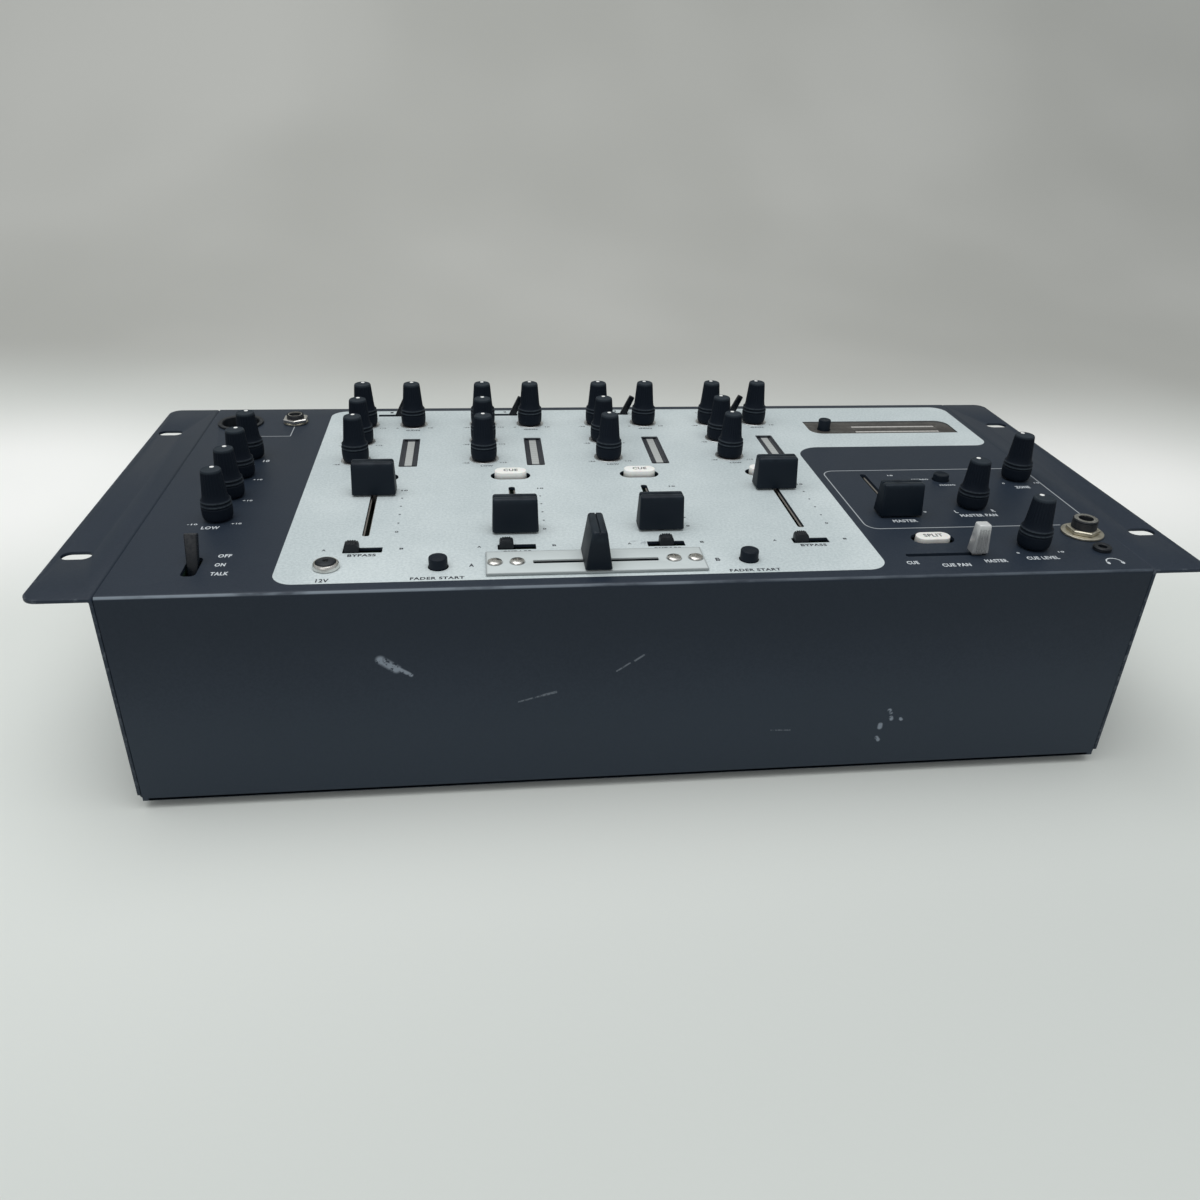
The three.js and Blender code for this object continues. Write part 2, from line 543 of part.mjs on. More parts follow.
// ---- crossfader plate ----
function crossfaderPlate() {
  const plate = block(CROSSFADER.x, CROSSFADER.y, PLATE.width, PLATE.depth, SEAT, SEAT + PLATE.thickness);
  const slot = block(CROSSFADER.x, CROSSFADER.y, FADER_SLOT.length, FADER_SLOT.width, SEAT - 1, SEAT + 3);
  return cut(plate, [slot]);
}

place('crossfader_plate', crossfaderPlate(), steel);

// ---- sliders ----
// A ridged cap on a steel blade that drops through the slot into the fader body.
function capShape(base, top, height) {
  const shape = new THREE.Shape();
  shape.moveTo(-base / 2, 0);
  shape.lineTo(base / 2, 0);
  shape.lineTo(top / 2, height);
  shape.lineTo(-top / 2, height);
  shape.closePath();
  return shape;
}

// The cap's section runs along its travel, its length across it.
function sliderCap(cap, alongX, x, y, low) {
  const settings = { depth: cap.length, bevelEnabled: false };
  const geometry = new THREE.ExtrudeGeometry(capShape(cap.base, cap.top, cap.height), settings);
  geometry.translate(0, 0, -cap.length / 2).rotateX(Math.PI / 2);
  if (!alongX) geometry.rotateZ(Math.PI / 2);
  return solid(geometry.translate(x, y, low));
}

function slider(cap, alongX, x, y, low) {
  const { thickness, length, depth } = BLADE;
  const size = alongX ? [length, thickness] : [thickness, length];
  const blade = block(x, y, ...size, PANEL - depth, low + 2);
  return join([sliderCap(cap, alongX, x, y, low), blade]);
}

const channelCap = { ...CAP, height: CAP.height - CAP.hover };
for (const { name, x, y, rest } of faders) {
  place(name, slider(channelCap, false, x, y + rest, PANEL + CAP.hover), blackPlastic);
}
const crossfaderLow = SEAT + PLATE.thickness + CROSSFADER_HOVER;
const crossfader = slider(CROSSFADER_CAP, true, CROSSFADER.x, CROSSFADER.y, crossfaderLow);
place('crossfader', crossfader, blackPlastic);

const panCap = { ...PAN_CAP, height: PAN_CAP.height - CAP.hover };
const panX = CUE_PAN_SLOT.x + PAN_TRAVEL / 2;
place('cue_pan_slider', slider(panCap, true, panX, CUE_PAN_SLOT.y, PANEL + CAP.hover), clearPlastic);

// ---- toggles ----
// A flat paddle, wider at the tip, on a pivot under the slot; it is built upright, then leaned.
function paddle(widthAtRoot, widthAtTip, thickness, length) {
  const shape = new THREE.Shape();
  shape.moveTo(-widthAtRoot / 2, 0);
  shape.lineTo(widthAtRoot / 2, 0);
  shape.lineTo(widthAtTip / 2, length);
  shape.lineTo(-widthAtTip / 2, length);
  shape.closePath();
  const geometry = new THREE.ExtrudeGeometry(shape, { depth: thickness, bevelEnabled: false });
  return geometry.translate(0, 0, -thickness / 2).rotateX(Math.PI / 2);
}

for (const { number, x } of channels) {
  const lever = paddle(TOGGLE.root, TOGGLE.tip, TOGGLE.blade, TOGGLE.length)
    .rotateY(THREE.MathUtils.degToRad(TOGGLE.lean))
    .translate(x, SOURCE_TOGGLE_Y, PANEL - TOGGLE.pivot);
  place(`ch${number}_source_toggle`, solid(lever), blackPlastic);
}

const { root, tip, thickness, length } = TALK_LEVER;
const talkLever = paddle(root, tip, thickness, length)
  .rotateX(-THREE.MathUtils.degToRad(TALK_LEVER.lean))
  .translate(TALK.x, TALK.y, PANEL - TALK_LEVER.pivot);
place('talk_toggle', solid(talkLever), blackPlastic);

// ---- assign switches ----
// A domed actuator that slides to A, bypass or B.
const DOME = { start: 1.6, inset: 0.3, segments: 5, below: 0.6 };
const ACTUATOR_STEM = 3;
function assignActuator(x) {
  const { actuator, height } = ASSIGN;
  const half = actuator / 2;
  const radius = half - DOME.inset;
  const shoulder = height - DOME.start;
  const shape = new THREE.Shape();
  shape.moveTo(-half, 0);
  shape.lineTo(half, 0);
  shape.lineTo(radius, shoulder);
  shape.absarc(0, shoulder, radius, 0, Math.PI, false);
  shape.closePath();
  const depth = ASSIGN.width - 3 * DOME.inset;
  const settings = { depth, bevelEnabled: false, curveSegments: DOME.segments };
  const geometry = new THREE.ExtrudeGeometry(shape, settings);
  geometry.translate(0, 0, -depth / 2).rotateX(Math.PI / 2);
  geometry.scale(1, 1, height / (shoulder + radius));
  const dome = solid(geometry.translate(x, ASSIGN_Y, PANEL - DOME.below));
  return join([dome, block(x, ASSIGN_Y, ACTUATOR_STEM, ACTUATOR_STEM, PANEL - BLADE.depth, PANEL)]);
}

for (const { number, x } of channels) {
  const rest = number === 3 ? 0 : -ASSIGN.throw;
  place(`ch${number}_assign_switch`, assignActuator(x + rest), blackPlastic);
}

// ---- push buttons ----
const stem = (x, y) =>
  block(x, y, BUTTON_STEM, BUTTON_STEM, PANEL - BUTTON_STEM_DEPTH, PANEL - BUTTON_SKIRT_DEPTH + EPS);

for (const { name, x, y, height } of ovalButtons) {
  const outline = stadium(CUE_CAP.length, CUE_CAP.width);
  const cap = prism(outline, x, y, PANEL - BUTTON_SKIRT_DEPTH, PANEL + height);
  place(name, join([cap, stem(x, y)]), whitePlastic);
}

for (const { name, x, y, radius, height } of roundButtons) {
  const cap = rod(x, y, radius, PANEL - BUTTON_SKIRT_DEPTH, PANEL + height, BUTTON_SEGMENTS);
  place(name, join([cap, stem(x, y)]), blackPlastic);
}

// ---- knobs ----
// A ribbed cone on a bulging skirt, moulded over the pot's shaft.
function knob({ x, y, scale = 1 }) {
  const at = (height) => PANEL + height;
  const wide = (radius) => radius * scale;
  return turned([
    [0, at(-SHAFT_DEPTH)], [SHAFT_RADIUS, at(-SHAFT_DEPTH)], [SHAFT_RADIUS, at(KNOB.hover)],
    [wide(KNOB.collar), at(KNOB.hover)], [wide(KNOB.skirt), at(4.2)], [wide(KNOB.skirt), at(8.4)],
    [wide(5.6), at(11.2)], [wide(KNOB.top), at(KNOB.height)], [0, at(KNOB.height)],
  ], x, y, KNOB.segments);
}

for (const spec of knobs) {
  place(spec.name, knob(spec), blackPlastic);
}

export default mixer;
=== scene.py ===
from math import radians, pi, sin, cos

import bmesh
import bpy
from mathutils import Matrix, Vector


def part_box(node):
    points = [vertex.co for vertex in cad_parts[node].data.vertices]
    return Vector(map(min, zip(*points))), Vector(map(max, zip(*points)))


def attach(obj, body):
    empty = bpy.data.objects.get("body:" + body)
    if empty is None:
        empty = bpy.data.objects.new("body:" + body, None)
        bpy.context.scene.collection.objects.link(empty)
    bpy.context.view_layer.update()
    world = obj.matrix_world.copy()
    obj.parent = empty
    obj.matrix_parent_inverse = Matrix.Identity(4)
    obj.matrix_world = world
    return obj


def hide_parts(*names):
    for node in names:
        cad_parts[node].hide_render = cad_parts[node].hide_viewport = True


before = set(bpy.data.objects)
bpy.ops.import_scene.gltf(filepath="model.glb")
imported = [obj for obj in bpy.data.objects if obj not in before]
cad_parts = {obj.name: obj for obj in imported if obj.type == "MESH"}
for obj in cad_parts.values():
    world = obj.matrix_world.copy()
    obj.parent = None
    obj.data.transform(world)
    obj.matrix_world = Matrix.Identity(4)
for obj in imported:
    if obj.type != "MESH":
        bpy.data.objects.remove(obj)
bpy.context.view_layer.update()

mm = 0.001

# ---- studio ----
# A pale seamless table under one large soft lamp overhead, with a weak fill from the front.
# The camera stands over the front edge and looks down across the panel.
bpy.ops.object.select_all(action="DESELECT")
bpy.ops.mesh.primitive_plane_add(size=8, location=(0, -3.4, 0))
floor = bpy.context.object
floor.name = "studio_floor"
bpy.ops.object.transform_apply(location=True, rotation=True, scale=True)
bpy.ops.object.mode_set(mode="EDIT")
bpy.ops.mesh.select_mode(type="EDGE")
bpy.ops.mesh.select_all(action="DESELECT")
sweep = bmesh.from_edit_mesh(floor.data)
for edge in sweep.edges:
    edge.select_set(all(vertex.co.y > 0.5 for vertex in edge.verts))
bmesh.update_edit_mesh(floor.data)
bpy.ops.mesh.spin(steps=24, angle=radians(-80), center=(0, 0.6, 0.9), axis=(1, 0, 0))
bpy.ops.mesh.extrude_region_move(TRANSFORM_OT_translate={"value": (0, 0.4, 2.2)})
bpy.ops.mesh.select_all(action="SELECT")
bpy.ops.mesh.faces_shade_smooth()
bpy.ops.object.mode_set(mode="OBJECT")

camera_data = bpy.data.cameras.new("camera")
camera_data.sensor_width = 36
camera_data.lens = 29.748
camera_data.clip_start = 0.02
camera_data.clip_end = 60
camera = bpy.data.objects.new("camera", camera_data)
camera.location = (-0.06678, -0.45912, 0.28988)
camera.rotation_euler = (radians(60.798), radians(-1.719), radians(-6.435))
bpy.context.collection.objects.link(camera)
bpy.context.scene.camera = camera
bpy.context.scene.view_settings.view_transform = "Standard"


def soft_lamp(name, place, towards, width, depth, power):
    """A rectangular soft box at a place, facing a point."""
    data = bpy.data.lights.new(name, "AREA")
    data.shape = "RECTANGLE"
    data.size = width
    data.size_y = depth
    data.energy = power
    lamp = bpy.data.objects.new(name, data)
    lamp.location = place
    lamp.rotation_euler = (Vector(towards) - Vector(place)).to_track_quat("-Z", "Y").to_euler()
    bpy.context.collection.objects.link(lamp)


soft_lamp("overhead_soft_box", (-0.15, -0.15, 1.75), (0, 0, 0), 2.2, 1.6, 24)
soft_lamp("front_fill", (-0.9, -1.9, 1.2), (0, 0, 0.05), 1.4, 1.0, 5)

surroundings = bpy.data.worlds.new("surroundings")
surroundings.use_nodes = True
surroundings.node_tree.nodes["Background"].inputs["Color"].default_value = (0.80, 0.82, 0.83, 1)
surroundings.node_tree.nodes["Background"].inputs["Strength"].default_value = 0.54
bpy.context.scene.world = surroundings


class Field:
    """A socket in a shader expression. Its operators add the material's Math nodes."""

    def __init__(self, finish, socket):
        self.finish = finish
        self.socket = socket

    def math(self, operation, *values):
        return self.finish.node("ShaderNodeMath", {"operation": operation}, *values)

    def __add__(self, other):
        return self.math("ADD", self, other)

    def __sub__(self, other):
        return self.math("SUBTRACT", self, other)

    def __mul__(self, other):
        return self.math("MULTIPLY", self, other)

    def __truediv__(self, other):
        return self.math("DIVIDE", self, other)

    def __rsub__(self, other):
        return self.math("SUBTRACT", other, self)

    def __rtruediv__(self, other):
        return self.math("DIVIDE", other, self)

    def __pow__(self, other):
        return self.math("POWER", self, other)

    def __neg__(self):
        return self.math("MULTIPLY", self, -1)

    def __abs__(self):
        return self.math("ABSOLUTE", self)

    __radd__ = __add__
    __rmul__ = __mul__

    def most(self, other):
        return self.math("MAXIMUM", self, other)

    def least(self, other):
        return self.math("MINIMUM", self, other)

    def between(self, low, high):
        """0 at low, 1 at high, with soft ends."""
        settings = {"interpolation_type": "SMOOTHSTEP"}
        return self.finish.node("ShaderNodeMapRange", settings, self, low, high, 0, 1)


class Finish:
    """One material: a Principled shader with its constants set, and fields for what varies."""

    def __init__(self, name, **constants):
        self.material = bpy.data.materials.new(name)
        self.material.use_nodes = True
        self.tree = self.material.node_tree
        self.shader = self.tree.nodes["Principled BSDF"]
        for socket, value in constants.items():
            self.shader.inputs[socket.replace("_", " ")].default_value = value
        self.place = self.node("ShaderNodeTexCoord", {}, out="Object")
        self.x, self.y, self.z = (
            self.node("ShaderNodeSeparateXYZ", {}, self.place, out=axis) for axis in "XYZ")

    def node(self, kind, settings, *values, out=0, **named):
        """Adds any node: its settings first, then values or links of its sockets."""
        node = self.tree.nodes.new(kind)
        for setting, value in settings.items():
            setattr(node, setting, value)
        for socket, value in [*enumerate(values), *named.items()]:
            if isinstance(value, Field):
                self.tree.links.new(value.socket, node.inputs[socket])
            elif value is not None:
                node.inputs[socket].default_value = value
        return Field(self, node.outputs[out])

    def noise(self, size, detail=3, roughness=0.5, stretch=(1, 1, 1)):
        """Cloudy noise whose features are about size across."""
        place = self.place
        if stretch != (1, 1, 1):
            place = self.node("ShaderNodeMapping", {}, self.place, Scale=stretch)
        return self.node("ShaderNodeTexNoise", {}, Vector=place, Scale=1 / size,
                         Detail=detail, Roughness=roughness)

    def mix(self, amount, first, second):
        """Two colours, the second where amount is 1."""
        colours = [(*c, 1) if isinstance(c, tuple) else c for c in (first, second)]
        spare = (None,) * 5
        return self.node("ShaderNodeMix", {"data_type": "RGBA"}, amount, *spare, *colours, out=2)

    def feed(self, **fields):
        for socket, field in fields.items():
            self.tree.links.new(field.socket, self.shader.inputs[socket.replace("_", " ")])

    def relief(self, height, depth, strength=1.0):
        """Bump from a height field, depth being the height that 1 stands for."""
        self.feed(Normal=self.node("ShaderNodeBump", {}, Strength=strength, Distance=depth,
                                   Height=height))


# The table's paint does part of the lighting: brighter at two places behind, darker close by and up the
# rising wall, painted light and shade in place of more lamps.
table = Finish("studio_table", Roughness=0.8)
clouds = table.noise(0.5, 2)
cloth = table.mix(clouds.between(0.3, 0.7), (0.695, 0.730, 0.700), (0.740, 0.765, 0.735))
wall = table.mix(clouds.between(0.3, 0.7), (0.43, 0.435, 0.41), (0.50, 0.505, 0.48))
painted_near_shade = (table.x * 0.25 - table.y).between(0, 0.30)
painted_light_pools = (((abs(table.x) - 0.42) ** 2 + (table.y - 0.25) ** 2) ** 0.5).between(0.24, 0.04)
cloth = table.mix(painted_light_pools, table.mix(painted_near_shade, cloth, (0.600, 0.630, 0.605)), (0.93, 0.935, 0.915))
table.feed(Base_Color=table.mix((table.y + table.x * 0.12).between(0.24, 0.60), cloth, wall))
table.relief(table.noise(3 * mm, 3), 0.1 * mm, 0.4)
floor.data.materials.append(table.material)

# ---- chassis tray ----
# The lower half of the case: one steel sheet folded up at both sides and out again into the rack
# ears, powder painted after bending. The ears' slots and the corner reliefs are punched first.
SHEET = 1.5 * mm
tray_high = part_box("chassis_tray")[1]
cover_low, cover_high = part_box("top_cover")
PANEL = cover_high[2]
MIDDLE_Y = (cover_low[1] + cover_high[1]) / 2
CASE_LOW = cover_low[2]
WALL_X = cover_high[0] + 1.8 * mm
EAR_FACE = tray_high[2]


def spot(x, y):
    """A place on the panel, in millimetres from the middle of the cover."""
    return x * mm, MIDDLE_Y + y * mm


def begin(name, shape, scale=(1, 1, 1), **place):
    """Adds the primitive that a piece is shaped from, with its place in its mesh."""
    bpy.ops.object.select_all(action="DESELECT")
    getattr(bpy.ops.mesh, f"primitive_{shape}_add")(**place)
    piece = bpy.context.object
    piece.scale = scale
    piece.name = piece.data.name = name
    bpy.ops.object.transform_apply(location=True, rotation=True, scale=True)
    return piece


def block(name, x, y, width, depth, low, high):
    """A box to shape, between two heights."""
    return begin(name, "cube", size=1, location=(x, y, (low + high) / 2),
                 scale=(width, depth, high - low))


def pick(piece, kind, wanted):
    """Opens a piece for editing with only the wanted vertices, edges or faces selected."""
    bpy.context.view_layer.objects.active = piece
    if piece.mode != "EDIT":
        bpy.ops.object.mode_set(mode="EDIT")
    bpy.ops.mesh.select_mode(type=kind)
    bpy.ops.mesh.select_all(action="DESELECT")
    mesh = bmesh.from_edit_mesh(piece.data)
    mesh.normal_update()
    for part in {"VERT": mesh.verts, "EDGE": mesh.edges, "FACE": mesh.faces}[kind]:
        if wanted(part):
            part.select_set(True)
    mesh.select_flush_mode()
    bmesh.update_edit_mesh(piece.data)


def close(piece):
    """Leaves edit mode."""
    if piece.mode == "EDIT":
        bpy.ops.object.mode_set(mode="OBJECT")
    return piece


def middle(edge):
    return (edge.verts[0].co + edge.verts[1].co) / 2


def runs_along(edge, axis):
    """True for an edge parallel to an axis, 0 to 2."""
    direction = edge.verts[1].co - edge.verts[0].co
    return abs(direction[axis]) > 0.999 * direction.length


def modify(piece, kind, **settings):
    """One modifier, applied."""
    close(piece)
    bpy.ops.object.select_all(action="DESELECT")
    piece.select_set(True)
    bpy.context.view_layer.objects.active = piece
    modifier = piece.modifiers.new(kind.lower(), kind)
    for setting, value in settings.items():
        setattr(modifier, setting, value)
    bpy.ops.object.modifier_apply(modifier=modifier.name)
    return piece


def round_edges(piece, radius, segments=3, angle=30):
    return modify(piece, "BEVEL", width=radius, segments=segments, limit_method="ANGLE",
                  angle_limit=radians(angle), use_clamp_overlap=True)


def round_uprights(piece, radius, segments=8):
    """Rounds the upright corners of a block."""
    pick(piece, "EDGE", lambda e: runs_along(e, 2))
    bpy.ops.mesh.bevel(offset=radius, segments=segments, affect="EDGES")
    return close(piece)


def join(name, pieces):
    bpy.ops.object.select_all(action="DESELECT")
    for piece in pieces:
        piece.select_set(True)
    bpy.context.view_layer.objects.active = pieces[0]
    bpy.ops.object.join()
    pieces[0].name = pieces[0].data.name = name
    return pieces[0]


def cut(piece, tools):
    """Cuts a list of closed tools out of a piece."""
    tool = join("cutting_tool", tools)
    modify(piece, "BOOLEAN", operation="DIFFERENCE", solver="EXACT", object=tool)
    bpy.data.objects.remove(tool, do_unlink=True)
    return piece


def outward(piece):
    """Merges doubles and turns every face outwards."""
    pick(piece, "FACE", lambda f: True)
    bpy.ops.mesh.remove_doubles(threshold=0.001 * mm)
    bpy.ops.mesh.select_all(action="SELECT")
    bpy.ops.mesh.normals_make_consistent(inside=False)
    return close(piece)


def fit(piece, body, slot, finish, *stands_for, smooth=35):
    """Shades a shaped piece, gives it its finish, and hangs it on the body that it moves with."""
    close(piece)
    bpy.ops.object.select_all(action="DESELECT")
    piece.select_set(True)
    bpy.context.view_layer.objects.active = piece
    bpy.ops.object.shade_smooth_by_angle(angle=radians(smooth))
    piece.data.materials.clear()
    piece.data.materials.append(finish.material)
    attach(piece, body)
    if stands_for:
        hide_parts(*stands_for)
    return piece


def rounded_box_distance(x, y, middle_x, middle_y, half_x, half_y, radius):
    """Distance outside a rounded rectangle, negative inside it."""
    over_x = abs(x - middle_x) - (half_x - radius)
    over_y = abs(y - middle_y) - (half_y - radius)
    outside = (over_x.most(0) ** 2 + over_y.most(0) ** 2) ** 0.5
    return outside + over_x.most(over_y).least(0) - radius


SLATE = (0.0120, 0.0200, 0.0330)
SLATE_LIGHT = (0.0175, 0.0265, 0.0415)


def powder_paint(name):
    """Slate powder paint: its colour, and how far wear has thinned it, are fed by the caller."""
    paint = Finish(name, Specular_IOR_Level=0.27)
    paint.clouds = paint.noise(60 * mm, 3)
    paint.grain = paint.noise(0.7 * mm, 4, 0.7)
    paint.specks = paint.noise(1.2 * mm, 3, 0.75).between(0.36, 0.64)
    tone = paint.clouds.between(0.3, 0.7) * 0.5 + paint.specks * 0.7
    paint.colour = paint.mix(tone, SLATE, SLATE_LIGHT)
    return paint


tray = begin("folded_tray", "plane", size=1, location=(0, MIDDLE_Y, CASE_LOW),
             scale=(2 * WALL_X, cover_high[1] - cover_low[1], 1))
for side in (-1, 1):
    pick(tray, "EDGE", lambda e: side * middle(e).x > WALL_X - mm and runs_along(e, 1)
         and middle(e).z < CASE_LOW + mm)
    bpy.ops.mesh.extrude_region_move(
        TRANSFORM_OT_translate={"value": (0, 0, EAR_FACE - SHEET - CASE_LOW)})
    bpy.ops.mesh.extrude_region_move(
        TRANSFORM_OT_translate={"value": (side * (tray_high[0] - WALL_X), 0, 0)})
pick(tray, "EDGE", lambda e: runs_along(e, 1) and abs(middle(e).x) < WALL_X + mm
     and middle(e).z < CASE_LOW + mm)
bpy.ops.mesh.bevel(offset=2 * mm, segments=6, affect="EDGES")
pick(tray, "EDGE", lambda e: runs_along(e, 1) and abs(abs(middle(e).x) - WALL_X) < mm
     and middle(e).z > PANEL - 5 * mm)
bpy.ops.mesh.bevel(offset=0.4 * mm, segments=3, affect="EDGES")
pick(tray, "VERT", lambda v: abs(v.co.x) > WALL_X + 10 * mm)
bpy.ops.mesh.bevel(offset=6 * mm, segments=8, affect="VERTICES")
pick(tray, "FACE", lambda f: True)
bpy.ops.mesh.normals_make_consistent(inside=False)
close(tray)
modify(tray, "SOLIDIFY", thickness=SHEET, offset=1, use_even_offset=True)
outward(tray)
ear_slots = [
    round_uprights(block("ear_slot", sx * 232.55 * mm, MIDDLE_Y + sy * 73.025 * mm, 12 * mm, 7 * mm,
                         EAR_FACE - 5 * mm, EAR_FACE + 5 * mm), 3.49 * mm, 10)
    for sx in (-1, 1) for sy in (-1, 1)]
reliefs = [
    block("corner_relief", sx * WALL_X, MIDDLE_Y + sy * 110.75 * mm, 8 * mm, 3.6 * mm,
          CASE_LOW - 2 * mm, CASE_LOW + 3 * mm)
    for sx in (-1, 1) for sy in (-1, 1)]
cut(tray, ear_slots + reliefs)
round_edges(tray, 0.25 * mm, 2, 50)

case_paint = powder_paint("case_powder_paint")
ear_edge = rounded_box_distance(case_paint.x, case_paint.y - MIDDLE_Y, 0, 0, tray_high[0],
                                110.75 * mm, 6 * mm)
rubbed = case_paint.noise(5 * mm, 4, 0.65)
ear_wear = ear_edge.between(-1.3 * mm, -0.1 * mm) * rubbed.between(0.5, 0.62)
case_paint.feed(
    Base_Color=case_paint.mix(ear_wear * 0.55, case_paint.colour, (0.10, 0.115, 0.135)),
    Roughness=0.40 + case_paint.clouds * 0.2 - ear_wear * 0.1)
case_paint.relief(case_paint.grain, 0.06 * mm, 0.5)
fit(tray, "case", "powder_paint", case_paint, "chassis_tray")

# ---- feet ----
# Four turned rubber feet, each with a recess for the screw and washer that hold it.


def turned(name, x, y, profile, sides=32):
    """A turned piece: a disc drawn up along its profile of (radius, height) and narrowed as it goes."""
    radius, height = profile[0]
    bpy.ops.object.select_all(action="DESELECT")
    bpy.ops.mesh.primitive_circle_add(vertices=sides, radius=radius, fill_type="NGON",
                                      location=(x, y, height))
    piece = bpy.context.object
    piece.name = piece.data.name = name
    bpy.ops.object.transform_apply(location=True, rotation=True, scale=True)
    bpy.ops.object.mode_set(mode="EDIT")
    bpy.ops.mesh.select_mode(type="FACE")
    bpy.ops.mesh.select_all(action="SELECT")
    for next_radius, next_height in profile[1:]:
        bpy.ops.mesh.extrude_region_move(
            TRANSFORM_OT_translate={"value": (0, 0, next_height - height)})
        ratio = next_radius / radius
        bpy.ops.transform.resize(value=(ratio, ratio, 1), center_override=(x, y, next_height))
        radius, height = next_radius, next_height
    bpy.ops.mesh.select_all(action="SELECT")
    bpy.ops.mesh.normals_make_consistent(inside=False)
    return close(piece)


foot_rubber = Finish("foot_rubber", Specular_IOR_Level=0.3)
foot_rubber.feed(
    Base_Color=foot_rubber.mix(foot_rubber.noise(2 * mm), (0.012, 0.012, 0.012), (0.03, 0.03, 0.03)),
    Roughness=0.7 + foot_rubber.noise(1 * mm) * 0.2)
foot_rubber.relief(foot_rubber.noise(0.6 * mm), 0.05 * mm, 0.6)
for sx, side in ((-1, "left"), (1, "right")):
    for sy, end in ((-1, "front"), (1, "rear")):
        x = sx * (WALL_X - 26 * mm)
        y = MIDDLE_Y + sy * 88.75 * mm
        foot = turned(f"foot_{side}_{end}", x, y, [
            (7.2 * mm, 0), (7.7 * mm, 0.5 * mm), (8 * mm, 4.0 * mm), (7.8 * mm, CASE_LOW),
            (3 * mm, CASE_LOW), (3 * mm, CASE_LOW - 0.2 * mm)], 28)
        pick(foot, "FACE", lambda f: f.normal.z < -0.9)
        bpy.ops.mesh.inset(thickness=3.6 * mm)
        bpy.ops.mesh.extrude_region_move(TRANSFORM_OT_translate={"value": (0, 0, 2 * mm)})
        outward(foot)
        fit(foot, "case", "moulded_black", foot_rubber)

# ---- boards and power supply ----
# Glass-fibre boards with their components, hung under the panel and stood on the tray floor. They
# show only through slots and windows, and from below where the sheets part.
board_resin = Finish("board_resin", Specular_IOR_Level=0.4)
tracks = board_resin.noise(3 * mm, 2, 0.4, stretch=(1, 0.25, 1))
board_resin.feed(
    Base_Color=board_resin.mix(tracks.between(0.48, 0.53), (0.006, 0.018, 0.012), (0.010, 0.030, 0.018)),
    Roughness=0.42 + board_resin.noise(1.5 * mm) * 0.25)
board_resin.relief(tracks, 0.08 * mm, 0.5)
for node in ("control_board", "power_supply"):
    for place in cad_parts[node].material_slots:
        place.material = board_resin.material

# ---- top cover ----
# One steel sheet folded over front and rear, punched for every control, powder painted slate and
# then printed with one large field of silver ink around the channel strips and the level meter.
cover = block("panel_cover", 0, MIDDLE_Y, 2 * cover_high[0], cover_high[1] - cover_low[1],
              CASE_LOW, PANEL)
pick(cover, "FACE", lambda f: abs(f.normal.x) > 0.9 or f.normal.z < -0.9)
bpy.ops.mesh.delete(type="FACE")
pick(cover, "EDGE", lambda e: runs_along(e, 0) and middle(e).z > PANEL - mm)
bpy.ops.mesh.bevel(offset=2 * mm, segments=6, affect="EDGES")
modify(cover, "SOLIDIFY", thickness=SHEET, offset=-1, use_even_offset=True)
outward(cover)

HOLE_LOW = PANEL - 4 * mm
HOLE_HIGH = PANEL + 2 * mm


def centre_of(node):
    low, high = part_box(node)
    return (low[0] + high[0]) / 2, (low[1] + high[1]) / 2


def round_hole(x, y, radius, sides=28):
    return begin("hole", "cylinder", vertices=sides, radius=radius, depth=HOLE_HIGH - HOLE_LOW,
                 location=(x, y, (HOLE_LOW + HOLE_HIGH) / 2))


def slot_hole(x, y, width, depth, corner=0.4 * mm, segments=3):
    return round_uprights(block("hole", x, y, width, depth, HOLE_LOW, HOLE_HIGH), corner, segments)


CHANNELS = range(1, 5)
KNOBS = [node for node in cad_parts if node.endswith("_knob")]
FADERS = ["ch1_fader", "ch2_fader", "ch3_fader", "ch4_fader", "master_fader"]
FADER_X = {channel: centre_of(f"ch{channel}_fader")[0] for channel in CHANNELS}
FADER_SLOT_Y = spot(0, -35.85)[1]
MASTER_SLOT_Y = spot(0, -26.85)[1]
METER_SHIFT = 13.4 * mm
METER_Y = spot(0, 38.1)[1]
WINDOW = spot(160.2, 70)
holes = [round_hole(*centre_of(node), 3.6 * mm, 20) for node in KNOBS]
holes += [slot_hole(FADER_X[channel], FADER_SLOT_Y, 3.1 * mm, 52.1 * mm, 1.2 * mm) for channel in CHANNELS]
holes += [slot_hole(centre_of("master_fader")[0], MASTER_SLOT_Y, 3.1 * mm, 52.1 * mm, 1.2 * mm)]
holes += [slot_hole(*centre_of("crossfader_plate"), 54.1 * mm, 6.1 * mm)]
holes += [slot_hole(*spot(129.9, -92.2), 36 * mm, 2.6 * mm, 1.1 * mm)]
holes += [slot_hole(*spot(-184, -87), 6.0 * mm, 16.5 * mm, 2.2 * mm, 6)]
holes += [slot_hole(FADER_X[channel], spot(0, 96.8)[1], 14 * mm, 3.4 * mm) for channel in CHANNELS]
holes += [slot_hole(FADER_X[channel], spot(0, -75.4)[1], 16.3 * mm, 5 * mm) for channel in CHANNELS]
holes += [slot_hole(FADER_X[channel] + METER_SHIFT, METER_Y, 9.2 * mm, 40.2 * mm, 0.8 * mm)
          for channel in CHANNELS]
holes += [slot_hole(*centre_of(f"ch{channel}_cue_button"), 19.6 * mm, 9.9 * mm, 4.94 * mm, 12)
          for channel in CHANNELS]
holes += [slot_hole(*centre_of("split_cue_button"), 19.6 * mm, 9.9 * mm, 4.94 * mm, 12)]
holes += [round_hole(*centre_of(node), radius * mm) for node, radius in (
    ("fader_start_a_button", 4.25), ("fader_start_b_button", 4.25), ("mono_stereo_button", 4.25),
    ("mic_combo_socket", 11.4), ("mic_jack", 5), ("headphone_jack", 5.5),
    ("mini_headphone_jack", 3.3), ("lamp_socket", 4.4))]
